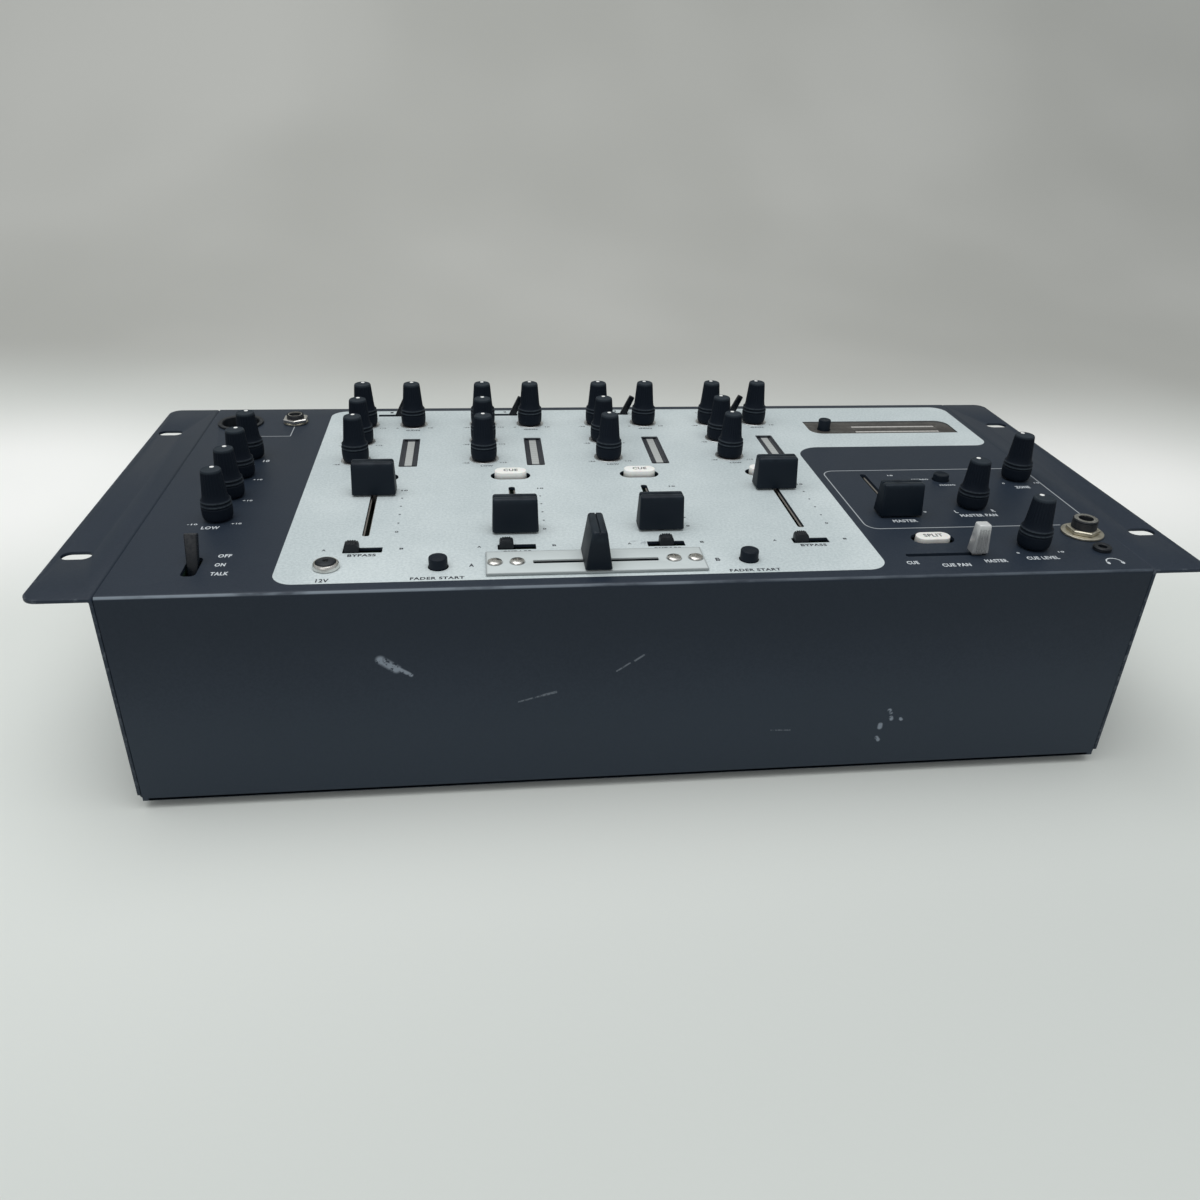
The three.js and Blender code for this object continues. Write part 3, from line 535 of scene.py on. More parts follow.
level_hole = block("hole", *WINDOW, 86 * mm, 20.4 * mm, HOLE_LOW, HOLE_HIGH)
pick(level_hole, "EDGE", lambda e: runs_along(e, 2)
     and (middle(e).x - WINDOW[0]) * (middle(e).y - WINDOW[1]) > 0)
bpy.ops.mesh.bevel(offset=7 * mm, segments=10, affect="EDGES")
holes += [close(level_hole)]

PHONO_X = [(-186 + 15.5 * i) * mm for i in range(8)]
PHONO_Z = (34 * mm, 52 * mm)
OUTPUT_X = (-30 * mm, 8 * mm)
LINE_JACK_X = (42 * mm, 62 * mm)
REAR_ROW_Z = 43 * mm
INLET_X, INLET_Z = 176 * mm, 42 * mm
REAR_Y = cover_high[1]


def rear_hole(x, z, radius, sides=28):
    return begin("hole", "cylinder", vertices=sides, radius=radius, depth=10 * mm,
                 location=(x, REAR_Y, z), rotation=(pi / 2, 0, 0))


holes += [rear_hole(x, z, 5.7 * mm, 20) for x in PHONO_X for z in PHONO_Z]
holes += [rear_hole(x, REAR_ROW_Z, 11.2 * mm) for x in OUTPUT_X]
holes += [rear_hole(x, REAR_ROW_Z, 4.9 * mm) for x in LINE_JACK_X]
holes += [block("hole", INLET_X, REAR_Y, 30.6 * mm, 10 * mm, INLET_Z - 11.8 * mm, INLET_Z + 11.8 * mm)]
cut(cover, holes)

SILVER = (0.605, 0.670, 0.680)
SILVER_SHADE = (0.445, 0.510, 0.525)
cover_paint = powder_paint("cover_powder_paint")
across = cover_paint.x
along = cover_paint.y - MIDDLE_Y


def field_mm(x0, x1, y0, y1, radius):
    """Distance from a printed rectangle on the panel, its edges in millimetres."""
    return rounded_box_distance(across, along, (x0 + x1) / 2 * mm, (y0 + y1) / 2 * mm,
                                (x1 - x0) / 2 * mm, (y1 - y0) / 2 * mm, radius * mm)


strips = field_mm(-151.2, 100.6, -104.3, 104.3, 9)
upper = field_mm(-151.2, 212, 38.7, 104.3, 8.5)
inside_corner = field_mm(98, 113.6, 25.7, 45, 0.2).most(-field_mm(100.6, 126.6, 12.7, 38.7, 12.99))
ragged = cover_paint.noise(0.9 * mm, 2) - 0.5
ink = (strips.least(upper).least(inside_corner) + ragged * 0.12 * mm).between(0.10 * mm, -0.10 * mm)
ink = ink * (cover_paint.z - PANEL).between(-0.3 * mm, -0.1 * mm)


def streak(x0, y0, x1, y1, width, u, v):
    """Distance inside a straight mark from one point to another, 1 along it and 0 beyond its width."""
    length = ((x1 - x0) ** 2 + (y1 - y0) ** 2) ** 0.5
    ux, uy = (x1 - x0) / length, (y1 - y0) / length
    du, dv = u - x0 * mm, v - y0 * mm
    on_line = (du * ux + dv * uy).most(0).least(length * mm)
    off = ((du - on_line * ux) ** 2 + (dv - on_line * uy) ** 2) ** 0.5
    return off.between(width * mm, width * 0.35 * mm)


# Marks on the front face: chips through the paint, and lighter scratches across it.
up = cover_paint.z
rough_edge = cover_paint.noise(2.2 * mm, 4, 0.7)
flake = cover_paint.noise(1.9 * mm, 4, 0.7).between(0.36, 0.50)
chips = [
    streak(-110.5, 71.0, -104.5, 66.5, 2.6, across, up), streak(-104.5, 67.2, -98.8, 63.3, 1.2, across, up),
    streak(106.8, 27.5, 106.8, 26.0, 1.5, across, up), streak(109.8, 35.2, 110.6, 34.0, 1.3, across, up),
    streak(111.2, 31.2, 111.4, 30.4, 1.3, across, up), streak(106.2, 20.4, 107.2, 19.0, 1.2, across, up),
    streak(115.6, 30.4, 116.2, 29.8, 1.0, across, up)]
scratches = [
    streak(-55.0, 47.8, -46.0, 50.4, 0.55, across, up), streak(-46.0, 50.4, -39.4, 52.1, 0.8, across, up),
    streak(-13.9, 61.5, -8.5, 65.3, 0.5, across, up), streak(-6.5, 66.3, -2.8, 69.0, 0.6, across, up),
    streak(56.4, 27.2, 65.1, 26.7, 0.45, across, up)]
front = (along + 110.75 * mm).between(0.6 * mm, 0.2 * mm)
chipped = chips[0]
for chip in chips[1:]:
    chipped = chipped.most(chip)
scratched = scratches[0]
for scratch in scratches[1:]:
    scratched = scratched.most(scratch)
chipped = chipped * flake * front
scratched = scratched * rough_edge.between(0.34, 0.54) * front

# The front fold is rubbed bright and carries a painted highlight along its bend, most at its left end; the
# rear fold is rubbed bright only here and there.
fold = (along + 110.75 * mm) + (PANEL - cover_paint.z)
rear_fold = (110.75 * mm - along) + (PANEL - cover_paint.z)
rub = cover_paint.noise(14 * mm, 4, 0.6, stretch=(0.35, 1, 1))
left_more = 1.0 - across.between(-150 * mm, 120 * mm) * 0.65
fold_wear_and_highlight = fold.between(1.42 * mm, 1.2 * mm) * rub.between(0.30, 0.55) * left_more
fold_wear_and_highlight = fold_wear_and_highlight.most(rear_fold.between(1.9 * mm, 1.2 * mm) * rub.between(0.5, 0.66) * 0.6)
blotch = cover_paint.noise(2.5 * mm, 4, 0.7).between(0.5, 0.62)
smudge = streak(-3.5, -74.0, 1.8, -74.8, 3.0, across, along) * blotch
smudge = smudge * (cover_paint.z - PANEL).between(-0.3 * mm, -0.1 * mm)

# Thin pale lines: one round the master controls, open at the headphone jacks, and one that ties
# the two microphone sockets to the level knob.
outline = 1.0 - abs(field_mm(104.8, 213.2, -65.3, 4.3, 6)).between(0.18 * mm, 0.38 * mm)
beside_jack = (across - 197 * mm).most(0) * (-58 * mm - along).most(0)
outline = outline * (1.0 - beside_jack.between(0, 0.001 * mm * mm))
past_corner = (across - 205 * mm).between(0, 0.1 * mm) * (-57 * mm - along).between(0, 0.1 * mm)
outline = outline * (1.0 - past_corner)
mic_line = streak(-169.0, 79.0, -169.0, 64.4, 0.36, across, along).most(
    streak(-169.0, 64.4, -190.0, 64.4, 0.36, across, along))
lines = outline.most(mic_line) * (cover_paint.z - PANEL).between(-0.3 * mm, -0.1 * mm)

worn_silver = cover_paint.clouds.between(0.35, 0.7) * 0.45 + cover_paint.specks * 0.55
silver = cover_paint.mix(worn_silver, SILVER_SHADE, SILVER)
# The front face is graded, dark under the fold and lighter low down, in place of light off a table.
low_part = front * up.between(70 * mm, 30 * mm) * 0.6
high_part = front * up.between(45 * mm, 92 * mm) * 0.6
lower = cover_paint.mix(low_part, cover_paint.colour, (0.0210, 0.0320, 0.0460))
shaded = cover_paint.mix(high_part, lower, (0.0050, 0.0105, 0.0190))
lined = cover_paint.mix(lines * 0.85, shaded, (0.40, 0.43, 0.45))
slate_and_ink = cover_paint.mix(ink, lined, silver)
dust = cover_paint.noise(1.8 * mm, 5, 0.8).between(0.66, 0.80) * 0.08
dusty = cover_paint.mix(dust, slate_and_ink, (0.42, 0.43, 0.43))
marked = cover_paint.mix((scratched * 0.65).most(smudge * 0.5), dusty, (0.17, 0.195, 0.225))
marked = cover_paint.mix(chipped * 0.85, marked, (0.24, 0.28, 0.33))
cover_paint.feed(
    Base_Color=cover_paint.mix(fold_wear_and_highlight * 0.8, marked, (0.20, 0.24, 0.28)),
    Roughness=0.42 + cover_paint.clouds * 0.16 - ink * 0.06 - fold_wear_and_highlight * 0.08)
cover_paint.relief(cover_paint.grain * (1.0 - ink * 0.45) - chipped * 0.8 - scratched * 0.4, 0.06 * mm, 0.5)
fit(cover, "case", "powder_paint", cover_paint, "top_cover", smooth=25)

# ---- printed labels ----
# Screen-printed words and scale marks: pale ink on the slate paint, dark ink on the silver field.
# Each is a film of ink a few hundredths of a millimetre above the paint.
INK_LIFT = 0.03 * mm
CAP_HEIGHT = 2.9


def letters(text, x, y, width, height=CAP_HEIGHT, lift=PANEL + INK_LIFT):
    """A flat word of a given width and height in millimetres, centred on a place."""
    bpy.ops.object.select_all(action="DESELECT")
    bpy.ops.object.text_add()
    word = bpy.context.object
    word.data.body = text
    word.data.align_x = "CENTER"
    word.data.align_y = "CENTER"
    word.data.offset = 0.035
    word.data.space_character = 1.12
    word.data.resolution_u = 3
    bpy.ops.object.convert(target="MESH")
    word.scale = (width * mm / word.dimensions.x, height * mm / word.dimensions.y, 1)
    word.location = (x, y, lift)
    bpy.ops.object.transform_apply(location=True, rotation=True, scale=True)
    return word


def printed(text, x, y, width, height=CAP_HEIGHT):
    return letters(text, *spot(x, y), width, height)


def scale_dot(x, y):
    bpy.ops.object.select_all(action="DESELECT")
    bpy.ops.mesh.primitive_circle_add(vertices=10, radius=0.5 * mm, fill_type="NGON",
                                      location=(*spot(x, y), PANEL + INK_LIFT))
    bpy.ops.object.transform_apply(location=True, rotation=True, scale=True)
    return bpy.context.object


def dashes(x, high, low):
    return [scale_dot(x, high + (low - high) * step / 5) for step in range(1, 5)]


MIC_X = -183.5
pale_print = [printed(*label) for label in (
    ("LEVEL", -185.1, 24.9, 10), ("HIGH", -185.1, -0.1, 8), ("MID", -185.1, -25.2, 6.5),
    ("LOW", -185.1, -50.3, 7.6), ("0", -193.6, 28.2, 1.5), ("10", -175.4, 28.2, 3),
    ("OFF", -173.1, -77.9, 5.4), ("ON", -173.3, -85.9, 4.2), ("TALK", -172.1, -93.7, 7),
    ("10", 138.4, -3.1, 2.8, 1.5), ("0", 138.7, -48.2, 1.4, 1.5), ("MASTER", 125.1, -57.7, 11.6),
    ("STEREO", 152.2, -8.8, 9, 1.4), ("MONO", 163.6, -16.6, 8.2, 1.6), ("L", 153.8, -48.7, 1.4),
    ("R", 172.3, -48.4, 1.6), ("MASTER PAN", 163.1, -53.2, 18), ("ZONE", 201.2, -20.9, 7.6),
    ("10", 211.0, -15.6, 2.8, 1.4), ("0", 193.6, -15.6, 1.3, 1.4), ("CUE", 112.2, -99.3, 5.2),
    ("CUE PAN", 130.4, -102.3, 12.6), ("MASTER", 149.2, -99.5, 10), ("CUE LEVEL", 171.3, -97.9, 14.6),
    ("0", 162.6, -92.6, 1.3, 1.4), ("10", 182.2, -92.6, 2.8, 1.4))]
for row in (9.7, -15.4, -40.5):
    pale_print += [printed("-10", MIC_X - 9.9, row - 5.9, 4.4, 1.5),
                   printed("+10", MIC_X + 8.6, row - 5.9, 4.4, 1.5)]
pale_print += dashes(138.5, -3.1, -48.2)
# The headphone sign: a band over two ear pads.
band = begin("headphone_sign", "circle", vertices=28, radius=3.7 * mm, fill_type="NGON",
             location=(*spot(201.2, -103.2), PANEL + INK_LIFT))
pick(band, "FACE", lambda f: True)
bpy.ops.mesh.inset(thickness=0.55 * mm)
bpy.ops.mesh.delete(type="FACE")
pick(band, "FACE", lambda f: f.calc_center_median().y < MIDDLE_Y - 103.2 * mm)
bpy.ops.mesh.delete(type="FACE")
close(band)
pads = []
for side in (-1, 1):
    pad = begin("ear_pad", "circle", vertices=12, radius=1, fill_type="NGON",
                scale=(0.75 * mm, 1.25 * mm, 1),
                location=(*spot(201.2 + side * 3.3, -103.9), PANEL + INK_LIFT))
    pads.append(pad)
pale_labels = join("pale_labels", pale_print + [band] + pads)

dark_print = [printed(*label) for label in (
    ("FADER START", -86.6, -102.1, 21.5, 2.3), ("FADER START", 43.2, -102.0, 21.5, 2.3),
    ("A", -73.0, -91.7, 2), ("B", 29.6, -91.8, 2), ("12V", -131.7, -101.9, 5))]
for channel in CHANNELS:
    fader_x = -21.7 + (channel - 2.5) * 64.3
    tone_x, gain_x = fader_x - 12.75, fader_x + 13.4
    dark_print += [
        printed(str(channel), fader_x, 101.6, 1.6, 2.2), printed("LINE", fader_x - 14.5, 97.6, 5, 1.2),
        printed("BYPASS", fader_x, -80.3, 11.6, 2.3), printed("A", fader_x - 15.9, -74.8, 1.7, 1.6),
        printed("B", fader_x + 15.9, -74.8, 1.7, 1.6), printed("10", fader_x + 13.4, -12.4, 3, 1.6),
        printed("0", fader_x + 12.9, -58.2, 1.5, 1.6), printed("GAIN", gain_x, 71.3, 7.4, 1.6),
        printed("0", gain_x - 8.6, 75.2, 1.2, 1.3), printed("10", gain_x + 9.2, 75.2, 2.6, 1.3)]
    dark_print += dashes(fader_x + 13.1, -12.4, -58.2)
    for word, row, width in (("HIGH", 81, 6.6), ("MID", 54.3, 5), ("LOW", 27.6, 6.2)):
        dark_print += [printed(word, tone_x + 1.2, row - 9.9, width, 1.6),
                       printed("-26", tone_x - 9.2, row - 5.6, 3.6, 1.3),
                       printed("+12", tone_x + 9.6, row - 5.6, 3.6, 1.3)]
dark_labels = join("dark_labels", dark_print)

for labels, name, light, deep in (
        (pale_labels, "pale_ink", (0.60, 0.64, 0.67), (0.46, 0.50, 0.53)),
        (dark_labels, "dark_ink", (0.012, 0.016, 0.024), (0.045, 0.052, 0.065))):
    printing_ink = Finish(name)
    printing_ink.feed(
        Base_Color=printing_ink.mix(printing_ink.noise(0.5 * mm, 3).between(0.42, 0.62), light, deep),
        Roughness=0.45 + printing_ink.noise(0.4 * mm) * 0.2)
    fit(labels, "case", "powder_paint", printing_ink)

# ---- meter windows ----
# Smoked acrylic lenses set flush in the panel, each over a frosted strip of lamps.
smoked = Finish("smoked_acrylic", IOR=1.49)
smoked.feed(
    Base_Color=smoked.mix(smoked.noise(8 * mm, 3).between(0.35, 0.65),
                          (0.040, 0.037, 0.034), (0.055, 0.051, 0.046)),
    Roughness=0.36 + smoked.noise(3 * mm, 4).between(0.4, 0.8) * 0.2)
surround = Finish("meter_surround")
surround.feed(
    Base_Color=surround.mix(surround.noise(2 * mm), (0.016, 0.019, 0.026), (0.026, 0.03, 0.038)),
    Roughness=0.35 + surround.noise(1 * mm) * 0.2)
surround.relief(surround.noise(0.5 * mm), 0.02 * mm, 0.4)
frosted = Finish("frosted_strip")
segment = (frosted.y / (2.9 * mm)).math("FRACT", frosted.y / (2.9 * mm))
bars = abs(segment - 0.5).between(0.36, 0.46)
frosted.feed(
    Base_Color=frosted.mix(bars * 0.4 + frosted.noise(1.5 * mm) * 0.3,
                           (0.42, 0.44, 0.43), (0.26, 0.275, 0.27)),
    Roughness=0.5 + frosted.noise(0.8 * mm) * 0.2)
bar_lens = Finish("bar_lens")
cell = (bar_lens.x / (3.3 * mm)).math("FRACT", bar_lens.x / (3.3 * mm))
gaps = abs(cell - 0.5).between(0.38, 0.48)
bar_lens.feed(
    Base_Color=bar_lens.mix(gaps * 0.4, (0.44, 0.43, 0.41), (0.24, 0.225, 0.21)),
    Roughness=0.4 + bar_lens.noise(1 * mm) * 0.2)
for channel in CHANNELS:
    x = FADER_X[channel] + METER_SHIFT
    lens = round_uprights(block(f"ch{channel}_meter_surround", x, METER_Y, 8.9 * mm, 39.9 * mm,
                                PANEL - 0.9 * mm, PANEL - 0.25 * mm), 0.7 * mm, 4)
    pick(lens, "FACE", lambda f: f.normal.z > 0.9)
    bpy.ops.mesh.inset(thickness=0.7 * mm)
    bpy.ops.mesh.extrude_region_move(TRANSFORM_OT_translate={"value": (0, 0, -0.25 * mm)})
    bpy.ops.mesh.inset(thickness=1.75 * mm)
    bpy.ops.mesh.extrude_region_move(TRANSFORM_OT_translate={"value": (0, 0, -0.25 * mm)})
    fit(lens, "case", "moulded_black", surround)
    strip = round_edges(block(f"ch{channel}_meter_strip", x, METER_Y, 3.7 * mm, 34.6 * mm,
                              PANEL - 0.76 * mm, PANEL - 0.52 * mm), 0.08 * mm, 2)
    fit(strip, "case", "moulded_black", frosted)
window = block("level_window", *WINDOW, 85.4 * mm, 19.8 * mm, PANEL - 0.9 * mm, PANEL - 0.3 * mm)
pick(window, "EDGE", lambda e: runs_along(e, 2)
     and (middle(e).x - WINDOW[0]) * (middle(e).y - WINDOW[1]) > 0)
bpy.ops.mesh.bevel(offset=6.7 * mm, segments=10, affect="EDGES")
window = cut(close(window), [
    round_uprights(block("cutter", *spot(168.5, y), 50 * mm, 2.4 * mm,
                         PANEL - 0.62 * mm, PANEL), 0.3 * mm, 3)
    for y in (71.4, 63.4)] + [round_hole(*centre_of("meter_mode_button"), 3.8 * mm)])
round_edges(window, 0.12 * mm, 2, 50)
fit(window, "case", "moulded_black", smoked)
for y, row in ((71.4, "left"), (63.4, "right")):
    bar = round_edges(block(f"level_bar_{row}", spot(168.5, 0)[0], spot(0, y)[1], 49.4 * mm, 2.0 * mm,
                            PANEL - 0.61 * mm, PANEL - 0.36 * mm), 0.1 * mm, 2)
    fit(bar, "case", "moulded_black", bar_lens)

# ---- dust strips and button wells ----
# Two dust lips of grey-brown felt run along under each fader slot, above the fader body's dull
# strip; each oval button stands in a moulded well pressed into the panel's hole.
dusty_strip = Finish("dusty_strip")
dusty_strip.feed(
    Base_Color=dusty_strip.mix(dusty_strip.noise(1.5 * mm, 4), (0.16, 0.15, 0.135), (0.26, 0.245, 0.22)),
    Roughness=0.75 + dusty_strip.noise(1 * mm) * 0.2)
dusty_strip.relief(dusty_strip.noise(0.6 * mm), 0.08 * mm, 0.7)
slot_places = {f"ch{channel}_fader_strip": (FADER_X[channel], FADER_SLOT_Y) for channel in CHANNELS}
slot_places["master_fader_strip"] = (centre_of("master_fader")[0], MASTER_SLOT_Y)


def copies(pattern, places, spread=None):
    """One copy for each name and place of a piece modelled at the origin, each with its own mesh."""
    made = {}
    for name, (x, y) in places.items():
        piece = pattern.copy()
        piece.data = pattern.data.copy()
        piece.name = piece.data.name = name
        bpy.context.collection.objects.link(piece)
        wide = (spread or {}).get(name, 1)
        piece.data.transform(Matrix.Translation((x, y, 0)) @ Matrix.Diagonal((wide, wide, 1, 1)))
        made[name] = piece
    bpy.data.objects.remove(pattern, do_unlink=True)
    return made


strip = block("strip", 0, 0, 2.9 * mm, 51 * mm, PANEL - 10.6 * mm, PANEL - 9.8 * mm)
pick(strip, "FACE", lambda f: f.normal.z > 0.9)
bpy.ops.mesh.inset(thickness=0.9 * mm)
bpy.ops.mesh.extrude_region_move(TRANSFORM_OT_translate={"value": (0, 0, 0.25 * mm)})
close(strip)
for piece in copies(strip, slot_places).values():
    fit(piece, "case", "moulded_black", dusty_strip)
lips = [block("lip", side * 1.3 * mm, 0, 0.78 * mm, 51.6 * mm, PANEL - 2.3 * mm, PANEL - 1.6 * mm)
        for side in (-1, 1)]
seal = round_edges(join("seal", lips), 0.2 * mm, 2)
for piece in copies(seal, {f"{name}_seal": place for name, place in slot_places.items()}).values():
    fit(piece, "case", "moulded_black", dusty_strip)

moulded = Finish("moulded_black_plastic", Specular_IOR_Level=0.38)
moulded.feed(
    Base_Color=moulded.mix(moulded.noise(4 * mm, 4).between(0.4, 0.7),
                           (0.0050, 0.0075, 0.0110), (0.011, 0.0145, 0.0195)),
    Roughness=0.38 + moulded.noise(1.5 * mm, 3) * 0.25)
moulded.relief(moulded.noise(0.4 * mm, 2), 0.02 * mm, 0.4)
OVALS = [f"ch{channel}_cue_button" for channel in CHANNELS] + ["split_cue_button"]
well = block("well", 0, 0, 19.2 * mm, 9.5 * mm, PANEL - 2.2 * mm, PANEL - 0.1 * mm)
round_uprights(well, 4.74 * mm, 12)
pick(well, "FACE", lambda f: f.normal.z > 0.9)
bpy.ops.mesh.inset(thickness=0.5 * mm)
bpy.ops.mesh.extrude_region_move(TRANSFORM_OT_translate={"value": (0, 0, -0.9 * mm)})
close(well)
opening = block("cutter", 0, 0, 16.6 * mm, 8.4 * mm, PANEL - 3 * mm, PANEL + mm)
cut(well, [round_uprights(opening, 4.15 * mm, 12)])
for name, piece in copies(well, {f"{node}_well": centre_of(node) for node in OVALS}).items():
    fit(piece, "case", "moulded_black", moulded)

# ---- panel sockets ----
# Turned bodies below the panel with washers and hexagon nuts above it. The microphone combination
# socket is a black moulding; the jacks have threaded barrels; the lamp socket is a nickel ring.


def plated(name, light, dark, roughness):
    """Plated metal, a little clouded and scratched by fitting tools."""
    plate = Finish(name, Metallic=1.0)
    clouded = plate.noise(5 * mm, 4)
    tooling = plate.noise(0.5 * mm, 3, 0.7, stretch=(1, 1, 0.2))
    plate.feed(Base_Color=plate.mix(clouded.between(0.4, 0.7), light, dark),
               Roughness=roughness + clouded * 0.15 + tooling * 0.08)
    plate.relief(tooling, 0.02 * mm, 0.3)
    return plate


nickel = plated("bright_nickel", (0.72, 0.71, 0.68), (0.52, 0.51, 0.48), 0.16)
zinc = plated("yellow_zinc", (0.60, 0.57, 0.47), (0.42, 0.395, 0.32), 0.32)


def at_panel(profile):
    return [(radius * mm, PANEL + height * mm) for radius, height in profile]


def bored_barrel(name, x, y, radius, bottom, top, bore, depth):
    """A threaded barrel with a chamfered rim and a plug bore."""
    threads = []
    height = 3.6
    while height < top - 1.1:
        threads += [(radius, height), (radius - 0.16, height + 0.3)]
        height += 0.6
    return turned(name, x, y, at_panel([
        (radius - 0.5, bottom), (radius - 0.5, 0.3), (radius, 0.4), *threads, (radius, top - 0.5),
        (radius - 0.35, top), (bore + 0.45, top), (bore, top - 0.5), (bore, top - depth)]), 32)


def ring(name, x, y, outer, inner, low, high, sides=40, chamfer=0.25):
    """A turned ring: a washer, collar or rim."""
    blank = turned(name, x, y, at_panel([
        (outer, low), (outer, high - chamfer), (outer - chamfer, high), (inner + 0.02, high)]), sides)
    return cut(blank, [begin("cutter", "cylinder", vertices=sides, radius=inner * mm,
                             depth=(high - low + 2) * mm, location=(x, y, PANEL + (high + low) / 2 * mm))])


def jack(node, washer, nut, barrel, top, nut_finish):
    x, y = centre_of(node)
    body = turned(f"{node}_body", x, y, at_panel([
        (7.6, -29), (8, -28.6), (8, -2.4), (4.5, -2.2), (4.5, -0.5)]), 32)
    body = cut(body, [begin("cutter", "cylinder", vertices=24, radius=3.3 * mm, depth=25 * mm,
                            location=(x, y, PANEL - 12.4 * mm))])
    fit(body, "case", "moulded_black", moulded, node)
    rim = turned(f"{node}_washer", x, y, at_panel([
        (washer, 0.3), (washer, 0.95), (washer - 0.25, 1.1), (barrel + 0.3, 1.1), (barrel + 0.3, 1.0)]), 40)
    fit(rim, "case", "nickel_plate", zinc)
    hexagon = turned(f"{node}_nut", x, y, at_panel([
        (nut * 0.94, 1.1), (nut, 1.4), (nut, 2.7), (nut * 0.94, 3.1), (barrel + 0.1, 3.1)]), 6)
    fit(hexagon, "case", "nickel_plate", nut_finish)
    sleeve = bored_barrel(f"{node}_barrel", x, y, barrel, -0.4, top, 3.25, 6)
    fit(sleeve, "case", "moulded_black", moulded)
    rim = ring(f"{node}_rim", x, y, barrel - 0.35, 3.3, top - 1.0, top, chamfer=0.12)
    fit(rim, "case", "nickel_plate", nickel)


jack("mic_jack", 6.4, 7.0, 4.6, 5.0, nickel)
jack("headphone_jack", 9.2, 7.3, 5.5, 7.5, zinc)

combo_x, combo_y = centre_of("mic_combo_socket")
combo = turned("combo_socket", combo_x, combo_y, at_panel([
    (11.2, -37), (11.6, -36.6), (11.6, -2), (11.0, -1.9), (11.0, 0.3), (12.0, 0.3), (12.0, 0.85),
    (11.75, 1.1), (10.1, 1.1), (9.7, 0.7), (9.7, -5), (4.6, -5), (4.3, -4.2), (3.4, -4.2), (3.3, -4.6),
    (3.3, -31)]), 48)
pins = [begin("cutter", "cylinder", vertices=16, radius=1.5 * mm, depth=12 * mm,
              location=(combo_x + 6.9 * mm * cos(a), combo_y + 6.9 * mm * sin(a), PANEL - 9 * mm))
        for a in (radians(-90), radians(30), radians(150))]
fit(cut(combo, pins), "case", "moulded_black", moulded, "mic_combo_socket")
latch = round_edges(block("combo_latch", combo_x, combo_y + 9.0 * mm, 5 * mm, 1.3 * mm,
                          PANEL - 4.9 * mm, PANEL + 0.9 * mm), 0.3 * mm)
fit(latch, "case", "nickel_plate", nickel)
fit(ring("combo_bore_ring", combo_x, combo_y, 4.2, 3.3, -4.6, -3.9), "case", "nickel_plate", nickel)

mini_x, mini_y = centre_of("mini_headphone_jack")
mini = turned("mini_jack", mini_x, mini_y, at_panel([
    (4.2, -17), (4.5, -16.7), (4.5, -1.9), (2.9, -1.8), (2.9, 0.3), (3.95, 0.3), (3.95, 1.5),
    (3.5, 2.0), (2.5, 2.0), (1.9, 1.6), (1.85, -13)]), 32)
fit(mini, "case", "moulded_black", moulded, "mini_headphone_jack")

lamp_x, lamp_y = centre_of("lamp_socket")
lamp_ring = turned("lamp_socket_ring", lamp_x, lamp_y, at_panel([
    (4.8, -12), (5, -11.8), (5, -1.9), (4, -1.8), (4, 0.3), (5.35, 0.3), (5.35, 1.3), (5.1, 2.2),
    (4.7, 2.6), (4.35, 2.6), (4.2, 2.2), (4.2, 1.2)]), 40)
fit(lamp_ring, "case", "nickel_plate", nickel, "lamp_socket")
lamp_core = turned("lamp_socket_core", lamp_x, lamp_y, at_panel([
    (4.1, 1.0), (4.1, 2.5), (3.9, 2.9), (3.3, 3.25), (2.4, 3.4), (1.3, 3.4), (1.1, 3.2), (1.1, 1.3)]), 36)
fit(lamp_core, "case", "moulded_black", moulded)
fit(ring("lamp_contact", lamp_x, lamp_y, 1.08, 0.7, 1.2, 2.7, 20, 0.1), "case", "nickel_plate", nickel)

# ---- crossfader plate ----
# A satin steel strip over the crossfader's opening, held by two pairs of cross-head screws: the
# outer pair to the panel, the inner pair to the fader body.
PLATE_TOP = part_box("crossfader_plate")[1][2]
plate_x, plate_y = centre_of("crossfader_plate")
SCREW_X = [plate_x + offset * mm for offset in (-41.8, -32.6, 32.6, 41.8)]
plate = block("crossfader_cover_plate", plate_x, plate_y, 91 * mm, 20 * mm, PLATE_TOP - mm, PLATE_TOP)
cut(plate, [round_uprights(block("cutter", plate_x, plate_y, 52.1 * mm, 3.1 * mm, PLATE_TOP - 3 * mm,
                                 PLATE_TOP + mm), 0.5 * mm, 3)])
round_edges(plate, 0.22 * mm, 3, 50)
satin = Finish("satin_plate", Metallic=0.15, Specular_IOR_Level=0.35)
brushed = satin.noise(0.35 * mm, 3, 0.7, stretch=(0.03, 1, 1))
plate_edge = rounded_box_distance(satin.x, satin.y, plate_x, plate_y, 45.5 * mm, 10 * mm, 0.5 * mm)
# Painted shade: a dark band along the plate's edge and a dark ring round each screw head, where the gaps
# there lie in shade.
edge_and_screw_shade = plate_edge.between(-0.9 * mm, -0.1 * mm)
for screw_x in SCREW_X:
    off = ((satin.x - screw_x) ** 2 + (satin.y - plate_y) ** 2) ** 0.5
    edge_and_screw_shade = edge_and_screw_shade.most(off.between(3.6 * mm, 3.1 * mm))
handled = satin.noise(9 * mm, 3)
satin.feed(
    Base_Color=satin.mix(
        edge_and_screw_shade * 0.55, satin.mix(brushed * 0.6 + handled * 0.3, (0.60, 0.655, 0.655), (0.49, 0.545, 0.55)),
        (0.12, 0.13, 0.135)),
    Roughness=0.50 + handled * 0.14 + brushed * 0.08)
satin.relief(brushed, 0.02 * mm, 0.35)
fit(plate, "case", "satin_metal", satin, "crossfader_plate")



def cross_head(radius):
    """A domed screw head with a cross recess, standing at the origin."""
    head = turned("screw", 0, 0, [(r * radius, h * radius) for r, h in (
        (0.97, 0), (1.0, 0.09), (0.94, 0.21), (0.74, 0.31), (0.45, 0.36), (0.16, 0.38))], 32)
    for long_x, long_y in ((1.05, 0.2), (0.2, 1.05)):
        cut(head, [block("cutter", 0, 0, long_x * radius, long_y * radius, 0.09 * radius, radius)])
    return head


